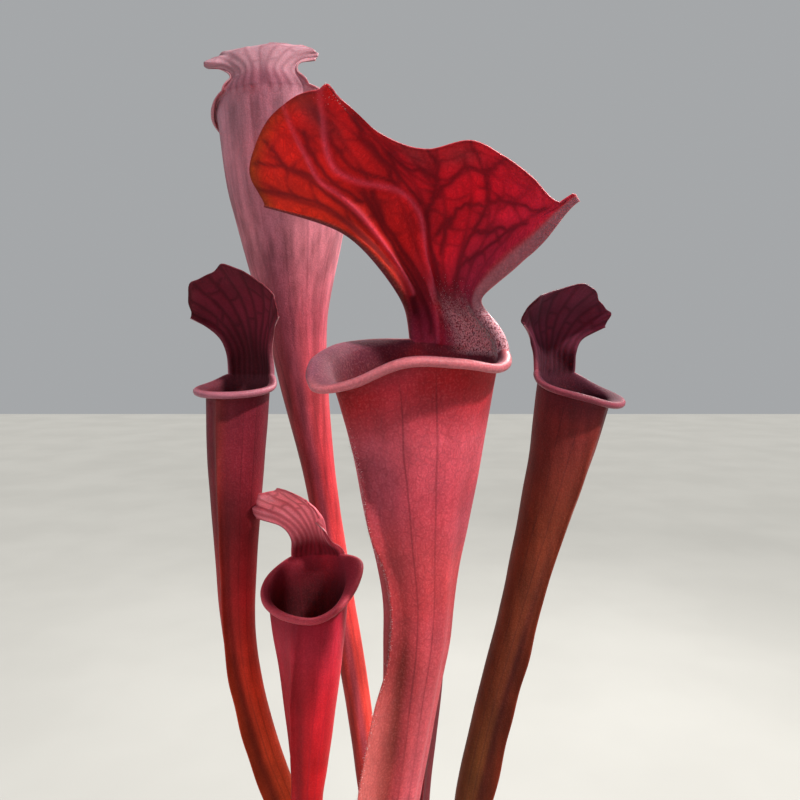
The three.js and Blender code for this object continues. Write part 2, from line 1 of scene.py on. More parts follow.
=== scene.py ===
"""Looks of a potted red trumpet pitcher plant: a nursery pot of peat, a rhizome and its six pitchers.

Everything is built in millimetres and turned into metres as each mesh is made. +Z is up, the photograph
looks along +Y, and the origin is on the floor under the middle of the pot.
"""

import math

import bmesh
import bpy
import numpy as np
from mathutils import Euler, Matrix, Vector, kdtree, noise


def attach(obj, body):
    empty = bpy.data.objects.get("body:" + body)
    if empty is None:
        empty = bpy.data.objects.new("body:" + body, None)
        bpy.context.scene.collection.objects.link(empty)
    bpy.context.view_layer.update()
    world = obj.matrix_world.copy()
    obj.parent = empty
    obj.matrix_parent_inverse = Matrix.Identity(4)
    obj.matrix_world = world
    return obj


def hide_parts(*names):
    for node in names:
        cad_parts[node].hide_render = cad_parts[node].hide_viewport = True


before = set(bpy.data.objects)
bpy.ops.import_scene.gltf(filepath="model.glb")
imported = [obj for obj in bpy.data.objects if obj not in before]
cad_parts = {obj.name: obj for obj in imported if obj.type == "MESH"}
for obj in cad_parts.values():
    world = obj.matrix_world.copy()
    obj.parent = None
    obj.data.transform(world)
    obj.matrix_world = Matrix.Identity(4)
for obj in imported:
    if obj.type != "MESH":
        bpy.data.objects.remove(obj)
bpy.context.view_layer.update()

# Camera: at the height of the main pitcher's mouth, 0.28 m in front of it, looking a little down. Its lens
# is 700 pixels long on the photograph's 800.
CAMERA_PLACE = (0, -0.330, 0.580)
CAMERA_TILT = math.radians(4.086)


def placed(name, data):
    """A new object in the scene."""
    obj = bpy.data.objects.new(name, data)
    bpy.context.scene.collection.objects.link(obj)
    return obj


camera_data = bpy.data.cameras.new("camera")
camera_data.sensor_width = 36
camera_data.lens = 36 * 700 / 800
camera_data.clip_start = 0.01
camera = placed("camera", camera_data)
camera.location = CAMERA_PLACE
camera.rotation_euler = Euler((math.pi / 2 - CAMERA_TILT, 0, 0))
bpy.context.scene.camera = camera


# Pot: a round nursery pot with a stepped collar and drain holes round the edge of its floor. It is black
# polypropylene, injection moulded with a fine matt grain, and it stands flat on the floor.
POT_HEIGHT = 150
POT_FOOT_RADIUS = 68
POT_SHOULDER = 92
POT_RADIUS = 95
POT_WALL = 2.2
COLLAR_DROP = 14
COLLAR = POT_HEIGHT - COLLAR_DROP
POT_FLOOR = 3
POT_SIDES = 160
DRAIN_HOLES = 8
DRAIN_HOLE_RADIUS = 5
DRAIN_RING = 46
CORNER_STEPS = 5


def pot_radius(height):
    return POT_FOOT_RADIUS + (POT_SHOULDER - POT_FOOT_RADIUS) * height / POT_HEIGHT


def corner(centre, radius, start, end):
    """Points of a small rounding in the pot's profile."""
    turns = np.radians(np.linspace(start, end, CORNER_STEPS))
    return [(centre[0] + radius * math.cos(t), centre[1] + radius * math.sin(t)) for t in turns]


def grid_quads(rows, closed=False):
    """The quads between successive rows of vertex numbers."""
    low, high = rows[:-1], rows[1:]
    if closed:
        low_next, high_next = np.roll(low, -1, axis=1), np.roll(high, -1, axis=1)
        return np.stack([low, low_next, high_next, high], axis=-1).reshape(-1, 4)
    return np.stack([low[:, :-1], low[:, 1:], high[:, 1:], high[:, :-1]], axis=-1).reshape(-1, 4)


def make_mesh(name, points, faces):
    mesh = bpy.data.meshes.new(name)
    faces = [tuple(int(i) for i in face) for face in faces]
    mesh.from_pydata([tuple(p) for p in np.asarray(points) / 1000], [], faces)
    mesh.validate()
    mesh.shade_smooth()
    return placed(name, mesh)


def meshed(name, shape):
    """The mesh of an edited shape, which isn't needed after that."""
    mesh = bpy.data.meshes.new(name)
    shape.to_mesh(mesh)
    shape.free()
    return mesh


def evaluated(obj):
    """The mesh that an object's modifiers make."""
    return bpy.data.meshes.new_from_object(obj.evaluated_get(bpy.context.evaluated_depsgraph_get()))


SMOOTH = {"interpolation_type": "SMOOTHSTEP"}


def linear(code):
    """The linear colour of an sRGB code such as "#a31d1d"."""
    channels = [int(code[i:i + 2], 16) / 255 for i in (1, 3, 5)]
    return np.array([c / 12.92 if c <= 0.04045 else ((c + 0.055) / 1.055) ** 2.4 for c in channels])


def rgba(code):
    return (*linear(code), 1)


def per_metre(size):
    """The pattern scale that makes features about a size in millimetres across."""
    return 1000 / size


def add(tree, kind, sockets=None, **settings):
    """Adds a node. A socket takes a number, a colour, an output, or a node's first live output."""
    node = tree.nodes.new(kind)
    for name, value in settings.items():
        setattr(node, name, value)
    for name, value in (sockets or {}).items():
        if isinstance(value, bpy.types.Node):
            value = next(output for output in value.outputs if output.enabled)
        if isinstance(value, bpy.types.NodeSocket):
            tree.links.new(value, node.inputs[name])
        else:
            node.inputs[name].default_value = value
    return node


def new_material(name, **whole):
    """A material, its nodes, its Principled shader with the given values, and the place on the object."""
    material = bpy.data.materials.new(name)
    material.use_nodes = True
    tree = material.node_tree
    tree.nodes.clear()
    values = {key.replace("_", " "): value for key, value in whole.items()}
    shader = add(tree, "ShaderNodeBsdfPrincipled", values)
    add(tree, "ShaderNodeOutputMaterial", {"Surface": shader})
    return material, tree, shader, add(tree, "ShaderNodeTexCoord").outputs["Object"]


def two_tones(tree, place, size, spread, dark, light, **settings):
    """A noise with features of a size in millimetres, the light colour's share, and the mixed colour."""
    grain = add(tree, "ShaderNodeTexNoise", {"Vector": place, "Scale": per_metre(size), **settings})
    tone = add(tree, "ShaderNodeMapRange", {
        "Value": grain, "From Min": spread[0], "From Max": spread[1],
    }, **SMOOTH)
    return grain, tone, add(tree, "ShaderNodeMix", {0: tone, 6: rgba(dark), 7: rgba(light)}, data_type="RGBA")


def link(tree, shader, **nodes):
    """Links nodes to the shader's sockets."""
    for key, node in nodes.items():
        output = next(output for output in node.outputs if output.enabled)
        tree.links.new(output, shader.inputs[key.replace("_", " ")])


profile = [(0, 0), (60, 0), *corner((66.2, 1.6), 1.6, -90, -8)]
profile += [(pot_radius(h), h) for h in (8, 30, 60, 90, 120)]
profile += [(pot_radius(COLLAR - 0.8), COLLAR - 0.8), (pot_radius(COLLAR) + 0.5, COLLAR - 0.1)]
profile += corner((POT_RADIUS - 0.8, COLLAR + 0.9), 0.8, -90, 0)
profile += [(POT_RADIUS, COLLAR + 5), (POT_RADIUS, POT_HEIGHT - 3)]
profile += corner((POT_RADIUS - 1.1, POT_HEIGHT - 1.1), 1.1, 0, 90)
profile += corner((POT_SHOULDER - POT_WALL + 1, POT_HEIGHT - 1), 1, 90, 180)
profile += [(pot_radius(h) - POT_WALL, h) for h in (120, 60, 5)]
profile += [(pot_radius(POT_FLOOR) - POT_WALL - 2, POT_FLOOR), (40, POT_FLOOR), (0, POT_FLOOR)]
turns = np.linspace(0, 2 * math.pi, POT_SIDES, endpoint=False)
points = [(0, 0, profile[0][1]), (0, 0, profile[-1][1])]
for r, h in profile[1:-1]:
    points += [(r * math.cos(t), r * math.sin(t), h) for t in turns]
ids = 2 + np.arange((len(profile) - 2) * POT_SIDES).reshape(-1, POT_SIDES)
faces = [tuple(face) for face in grid_quads(ids, closed=True)]
faces += [(0, ids[0, (j + 1) % POT_SIDES], ids[0, j]) for j in range(POT_SIDES)]
faces += [(1, ids[-1, j], ids[-1, (j + 1) % POT_SIDES]) for j in range(POT_SIDES)]
pot = make_mesh("nursery_pot", points, faces)
shape = bmesh.new()
wide = DRAIN_HOLE_RADIUS / 1000
for i in range(DRAIN_HOLES):
    turn = 2 * math.pi * (i + 0.5) / DRAIN_HOLES
    made = bmesh.ops.create_cone(shape, cap_ends=True, segments=32, radius1=wide, radius2=wide, depth=0.02)
    centre = Vector((math.cos(turn), math.sin(turn), 0)) * DRAIN_RING / 1000
    bmesh.ops.translate(shape, verts=made["verts"], vec=centre)
drill = placed("drills", meshed("drills", shape))
cut = pot.modifiers.new("drain_holes", "BOOLEAN")
cut.object = drill
cut.operation = "DIFFERENCE"
cut.solver = "EXACT"
pierced = evaluated(pot)
pot.modifiers.clear()
pot.data = pierced
bpy.data.objects.remove(drill)
pierced.shade_smooth()
pierced.set_sharp_from_angle(angle=math.radians(38))

# Moulded black polypropylene: a satin black with a 0.7 mm grain, which greys where splashed soil has dried
# on it. The smudges are some 35 mm across and their runs 4 mm wide.
material, tree, shader, place = new_material("moulded_black_polypropylene", IOR=1.49)
grain = add(tree, "ShaderNodeTexNoise", {"Vector": place, "Scale": per_metre(0.7), "Detail": 3})
smudge = add(tree, "ShaderNodeTexNoise", {
    "Vector": place, "Scale": per_metre(35), "Detail": 5, "Roughness": 0.6,
})
smudge = add(tree, "ShaderNodeMapRange", {"Value": smudge, "From Min": 0.45, "From Max": 0.75}, **SMOOTH)
run_scale = (per_metre(4), per_metre(4), per_metre(70))
run_place = add(tree, "ShaderNodeMapping", {"Vector": place, "Scale": run_scale})
runs = add(tree, "ShaderNodeTexNoise", {"Vector": run_place, "Scale": 1, "Detail": 3})
runs = add(tree, "ShaderNodeMapRange", {
    "Value": runs, "From Min": 0.35, "From Max": 0.7, "To Min": 0.25, "To Max": 0.75,
}, **SMOOTH)
dust = add(tree, "ShaderNodeMath", {0: smudge, 1: runs}, operation="MULTIPLY")
black = add(tree, "ShaderNodeMix", {0: dust, 6: rgba("#201f1f"), 7: rgba("#5b4c3e")}, data_type="RGBA")
rough = add(tree, "ShaderNodeMapRange", {"Value": dust, "From Max": 0.6, "To Min": 0.42, "To Max": 0.75})
bump = add(tree, "ShaderNodeBump", {"Height": grain, "Strength": 0.25, "Distance": 0.0003})
link(tree, shader, Base_Color=black, Roughness=rough, Normal=bump)
pot.data.materials.clear()
pot.data.materials.append(material)
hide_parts("pot")
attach(pot, "root")


# Soil: moist peat that fills the pot to 13 mm below its rim. It was poured and watered in, so its top is
# lumpy, sinks a little to the pot's edge and stands round the rhizome.
SOIL_LEVEL = 137
SOIL_FLOOR = POT_FLOOR + 0.4
SOIL_SINK = 3
SOIL_RINGS = 84
SOIL_SIDES = 168


def smoothstep(value, low, high):
    share = np.clip((np.asarray(value, float) - low) / (high - low), 0, 1)
    return share * share * (3 - 2 * share)


def ruffle(points, size, seed):
    """A smooth random height in -1 to 1 for every point, with features of the given size in millimetres."""
    offset = Vector((seed * 7.31, seed * 3.17, seed * 5.73))
    heights = [noise.noise(Vector(point) / size + offset) for point in points.reshape(-1, 3)]
    return np.reshape(heights, points.shape[:-1])


share = np.linspace(0, 1, SOIL_RINGS + 1)[1:, None]
turn = np.linspace(0, 2 * math.pi, SOIL_SIDES, endpoint=False)[None, :]
radius = share * (pot_radius(SOIL_LEVEL - 4) - POT_WALL - 0.3)
x = radius * np.cos(turn)
y = radius * np.sin(turn)
crumb = 1.6 * np.sin(x / 9 + 1) * np.cos(y / 11) + 0.9 * np.sin(x / 4.3 - y / 5.1)
flat = np.stack([x, y, np.zeros_like(x)], axis=-1)
clods = (ruffle(flat, 5.5, 11) + 0.6 * ruffle(flat, 2.3, 12)) * (1 - 0.5 * smoothstep(share, 0.96, 1))
top = np.stack([x, y, SOIL_LEVEL + 0.6 * crumb - SOIL_SINK * share ** 4 + 1.15 * clods], axis=-1)
rows = [top.reshape(-1, 3)]
for height in (128, 60, SOIL_FLOOR):
    around = pot_radius(height) - POT_WALL - 0.35
    level = np.full(SOIL_SIDES, height)
    rows.append(np.column_stack([around * np.cos(turn[0]), around * np.sin(turn[0]), level]))
soil_points = np.concatenate([*rows, [[0, 0, SOIL_LEVEL + 1], [0, 0, SOIL_FLOOR]]])
soil_ids = np.arange((SOIL_RINGS + 3) * SOIL_SIDES).reshape(SOIL_RINGS + 3, SOIL_SIDES)
faces = [tuple(face[::-1]) for face in grid_quads(soil_ids, closed=True)]
crown, base = len(soil_points) - 2, len(soil_points) - 1
faces += [(crown, soil_ids[0, j], soil_ids[0, (j + 1) % SOIL_SIDES]) for j in range(SOIL_SIDES)]
faces += [(base, soil_ids[-1, (j + 1) % SOIL_SIDES], soil_ids[-1, j]) for j in range(SOIL_SIDES)]
soil = make_mesh("soil_fill", soil_points, faces)

# Moist peat: a nearly black brown with paler dry crumbs 2.4 mm across and short tan fibres, all of it dull.
material, tree, shader, place = new_material("moist_peat", IOR=1.4)
crumbs, dry, peat = two_tones(tree, place, 2.4, (0.35, 0.68), "#140c08", "#4a3222", Detail=8, Roughness=0.75)
fibres = add(tree, "ShaderNodeTexVoronoi", {"Vector": place, "Scale": per_metre(1.9)})
fibrous = add(tree, "ShaderNodeMapRange", {
    "Value": fibres, "From Min": 0.5, "From Max": 0.9, "To Max": 0.35,
}, **SMOOTH)
peat = add(tree, "ShaderNodeMix", {0: fibrous, 6: peat, 7: rgba("#6e5236")}, data_type="RGBA")
rough = add(tree, "ShaderNodeMapRange", {"Value": dry, "To Min": 0.7, "To Max": 0.97})
bump = add(tree, "ShaderNodeBump", {"Height": crumbs, "Strength": 0.8, "Distance": 0.0014})
link(tree, shader, Base_Color=peat, Roughness=rough, Normal=bump)
soil.data.materials.append(material)
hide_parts("soil")
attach(soil, "root")


# Crumbs, perlite and moss: dry lumps of peat and white grains of puffed volcanic glass that were mixed into
# it, and sprigs of moss that have grown on its damp face. They lie loose on the soil.
def instance_tree(name, inputs):
    """A geometry node tree with named inputs, and what they give."""
    tree = bpy.data.node_groups.new(name, "GeometryNodeTree")
    tree.interface.new_socket("Geometry", in_out="OUTPUT", socket_type="NodeSocketGeometry")
    for key, kind in inputs.items():
        tree.interface.new_socket(key, in_out="INPUT", socket_type="NodeSocket" + kind)
    return tree, tree.nodes.new("NodeGroupInput").outputs


def realized(tree, instances, finish):
    """Ends the tree with the instances as one mesh of one material."""
    real = add(tree, "GeometryNodeRealizeInstances", {"Geometry": instances})
    finished = add(tree, "GeometryNodeSetMaterial", {"Geometry": real, "Material": finish})
    add(tree, "NodeGroupOutput", {0: finished})


def grow(holder, tree, values):
    """Replaces an object's mesh by what a tree makes of it. Inputs are set by their sockets' identifiers."""
    modifier = holder.modifiers.new("grown", "NODES")
    modifier.node_group = tree
    for item in tree.interface.items_tree:
        if item.name in values:
            modifier[item.identifier] = values[item.name]
    made = evaluated(holder)
    holder.modifiers.clear()
    holder.data = made
    made.materials.clear()
    made.materials.append(values["Finish"])
    made.shade_smooth()


scatter, given = instance_tree("grains_on_soil", {
    "Soil face": "Geometry", "Grain": "Object", "Finish": "Material", "Grains per square metre": "Float",
    "Least gap": "Float", "Smallest": "Float", "Largest": "Float", "Seed": "Int",
})
spots = add(scatter, "GeometryNodeDistributePointsOnFaces", {
    "Mesh": given["Soil face"], "Distance Min": given["Least gap"],
    "Density Max": given["Grains per square metre"], "Seed": given["Seed"],
}, distribute_method="POISSON")
source = add(scatter, "GeometryNodeObjectInfo", {"Object": given["Grain"]})
spin = add(scatter, "FunctionNodeRandomValue", {
    0: (0, 0, 0), 1: (0.9, 0.9, 2 * math.pi), "Seed": given["Seed"],
}, data_type="FLOAT_VECTOR")
size = add(scatter, "FunctionNodeRandomValue", {
    2: given["Smallest"], 3: given["Largest"], "Seed": given["Seed"],
}, data_type="FLOAT")
grains = add(scatter, "GeometryNodeInstanceOnPoints", {
    "Points": spots, "Instance": source.outputs["Geometry"], "Rotation": spin, "Scale": size,
})
realized(scatter, grains, given["Finish"])


def strew(name, grain, material, **sizes):
    """Strews copies of a small grain over the soil's top, as one piece of one material."""
    ground = bpy.data.meshes.new(name + "_ground")
    cover = [tuple(face[::-1]) for face in grid_quads(soil_ids[2:-4], closed=True)]
    ground.from_pydata([tuple(p) for p in soil_points / 1000], [], cover)
    holder = placed(name, ground)
    values = {key.replace("_", " ").capitalize(): value for key, value in sizes.items()}
    grow(holder, scatter, {"Grain": grain, "Finish": material, **values})
    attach(holder, "root")


def grain_shape(name, stretch, roughness, seed):
    """One small lump, 1 mm in radius, as a source for instances."""
    shape = bmesh.new()
    bmesh.ops.create_icosphere(shape, subdivisions=2, radius=1)
    for vertex in shape.verts:
        push = 1 + roughness * noise.noise(vertex.co * 1.7 + Vector((seed, 0, 0)))
        vertex.co = Vector(a * b for a, b in zip(vertex.co * push, stretch)) / 1000
    return bpy.data.objects.new(name, meshed(name, shape))


# One sprig of moss is a short stem's worth of narrow closed leaves that stand out all round it, 3.5 mm high.
MOSS_LEVELS = 4
MOSS_LEAVES = 4
shape = bmesh.new()
for level in range(MOSS_LEVELS):
    for side in range(MOSS_LEAVES):
        turn = 2 * math.pi * (side + level * 0.4) / MOSS_LEAVES
        out = Vector((math.cos(turn), math.sin(turn), 0))
        aside = Vector((-out.y, out.x, 0)) * 0.3
        foot = Vector((0, 0, level * 0.85))
        tip = foot + out * (1.55 - level * 0.16) + Vector((0, 0, 0.9))
        fold = (foot + tip) / 2 - Vector((0, 0, 0.22))
        middle = (foot + tip) / 2
        corners = (foot, middle + aside, tip, middle - aside)
        foot, left, tip, right = [shape.verts.new(place / 1000) for place in corners]
        keel = shape.verts.new(fold / 1000)
        shape.faces.new([foot, right, tip, left])
        for first, second in ((foot, left), (left, tip), (tip, right), (right, foot)):
            shape.faces.new([first, second, keel])
bmesh.ops.recalc_face_normals(shape, faces=shape.faces)
moss_sprig = bpy.data.objects.new("moss_sprig", meshed("moss_sprig", shape))
peat_crumb = grain_shape("peat_crumb", (1.2, 0.9, 0.7), 0.7, 3)
perlite_grain = grain_shape("perlite_grain", (1, 0.9, 0.8), 0.5, 5)

# Dry peat: brown, mottled every millimetre, quite matt. Perlite: chalky white with greyer pits. Moss: dull,
# and yellowish to deep green from sprig to sprig, about every 3 mm.
for name, grain, finish_name, dark, light, rough, mottle_size, sizes in (
    ("peat_crumbs", peat_crumb, "dry_peat", "#20140d", "#5c4029", 0.95, 1.1,
     {"grains_per_square_metre": 90000, "least_gap": 0.0018, "smallest": 0.5, "largest": 1.5, "seed": 31}),
    ("perlite_grains", perlite_grain, "perlite", "#b9b4a8", "#ece8df", 0.8, 1.1,
     {"grains_per_square_metre": 9000, "least_gap": 0.005, "smallest": 0.6, "largest": 1.5, "seed": 41}),
    ("moss_tufts", moss_sprig, "moss", "#3c4f16", "#7f9a34", 0.7, 3.3,
     {"grains_per_square_metre": 26000, "least_gap": 0.003, "smallest": 0.7, "largest": 1.5, "seed": 51}),
):
    material, tree, shader, place = new_material(finish_name, IOR=1.45, Roughness=rough)
    mottle, _, colour = two_tones(tree, place, mottle_size, (0.35, 0.65), dark, light, Detail=4)
    bump = add(tree, "ShaderNodeBump", {"Height": mottle, "Strength": 0.5, "Distance": 0.0003})
    link(tree, shader, Base_Color=colour, Normal=bump)
    strew(name, grain, material, **sizes)


# Rhizome: the knobbly stem from which every pitcher grows, showing above the soil between them. It is woody
# tissue ringed by the scars of old leaves, and it swells round the foot of each pitcher.

# A stalk is the x and y of its foot. A knob is its centre and its radii, and the swelling round each stalk's
# foot is the same without x and y.
STALKS = [(-13, -28), (2, 33), (-27, 4), (-26, 34), (24, 30), (8, -2)]
SWELLING = (130, 13, 12.5, 14)
KNOBS = [(-8, 16, 127, 20, 21, 12), (10, 18, 127, 16, 18, 12), (-7, -14, 127, 14, 15, 12)]
VOXEL = 0.0011


def paint(obj, name, values):
    """Stores a number or a colour for every vertex under a name that the materials read."""
    values = np.asarray(values, float)
    if values.ndim == 1:
        obj.data.attributes.new(name, "FLOAT", "POINT").data.foreach_set("value", values)
    else:
        colours = np.column_stack([values, np.ones(len(values))])
        obj.data.attributes.new(name, "FLOAT_COLOR", "POINT").data.foreach_set("color", colours.ravel())


shape = bmesh.new()
for x, y, z, across, along, high in [(*stalk, *SWELLING) for stalk in STALKS] + KNOBS:
    ball = bmesh.ops.create_icosphere(shape, subdivisions=4, radius=1)
    for vertex in ball["verts"]:
        i, j, k = vertex.co
        vertex.co = Vector((x + i * across, y + j * along, z + k * high)) / 1000
rhizome = placed("rhizome_stem", meshed("rhizome_stem", shape))
remesh = rhizome.modifiers.new("join", "REMESH")
remesh.mode = "VOXEL"
remesh.voxel_size = VOXEL
joined = evaluated(rhizome)
rhizome.modifiers.clear()
rhizome.data = joined
co = np.empty(len(joined.vertices) * 3)
joined.vertices.foreach_get("co", co)
co = co.reshape(-1, 3) * 1000
normal = np.empty(len(joined.vertices) * 3)
joined.vertices.foreach_get("normal", normal)
normal = normal.reshape(-1, 3)
stalks = np.array(STALKS)
nearest = np.argmin([np.hypot(co[:, 0] - x, co[:, 1] - y) for x, y in stalks], axis=0)
reach = np.hypot(co[:, 0] - stalks[nearest, 0], co[:, 1] - stalks[nearest, 1])
scars = np.sin(reach * 2.1 + 0.9 * ruffle(co, 6, 8)) * smoothstep(reach, 6, 8)
co += normal * (0.45 * scars + 0.5 * ruffle(co, 4, 9) - 0.3)[:, None]
joined.vertices.foreach_set("co", (co / 1000).ravel())
joined.shade_smooth()
paint(rhizome, "scar", 0.5 + 0.5 * scars)

# Rhizome bark: red-brown, rough and dull, blotched every 3 mm, and redder on the ridges between the scars.
material, tree, shader, place = new_material("rhizome_bark", IOR=1.45)
scar = add(tree, "ShaderNodeAttribute", attribute_name="scar").outputs["Fac"]
grain, tone, bark = two_tones(tree, place, 3.1, (0.3, 0.7), "#2c1710", "#7a4632", Detail=6, Roughness=0.65)
half_scar = add(tree, "ShaderNodeMath", {0: scar, 1: 0.5}, operation="MULTIPLY")
bark = add(tree, "ShaderNodeMix", {0: half_scar, 6: bark, 7: rgba("#94382c")}, data_type="RGBA")
rough = add(tree, "ShaderNodeMapRange", {"Value": tone, "To Min": 0.85, "To Max": 0.6})
bump = add(tree, "ShaderNodeBump", {"Height": grain, "Strength": 0.5, "Distance": 0.0008})
link(tree, shader, Base_Color=bark, Roughness=rough, Normal=bump)
rhizome.data.materials.append(material)
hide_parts("rhizome")
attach(rhizome, "root")


# Pitchers: each is one leaf whose blade grew into a winged tube with a rolled lip, a back column and an
# arched lid. It is leaf tissue 0.9 mm thick, veined, mottled and downy, and it grows out of the rhizome.
WALL = 0.9
STALK_LEVEL = 131

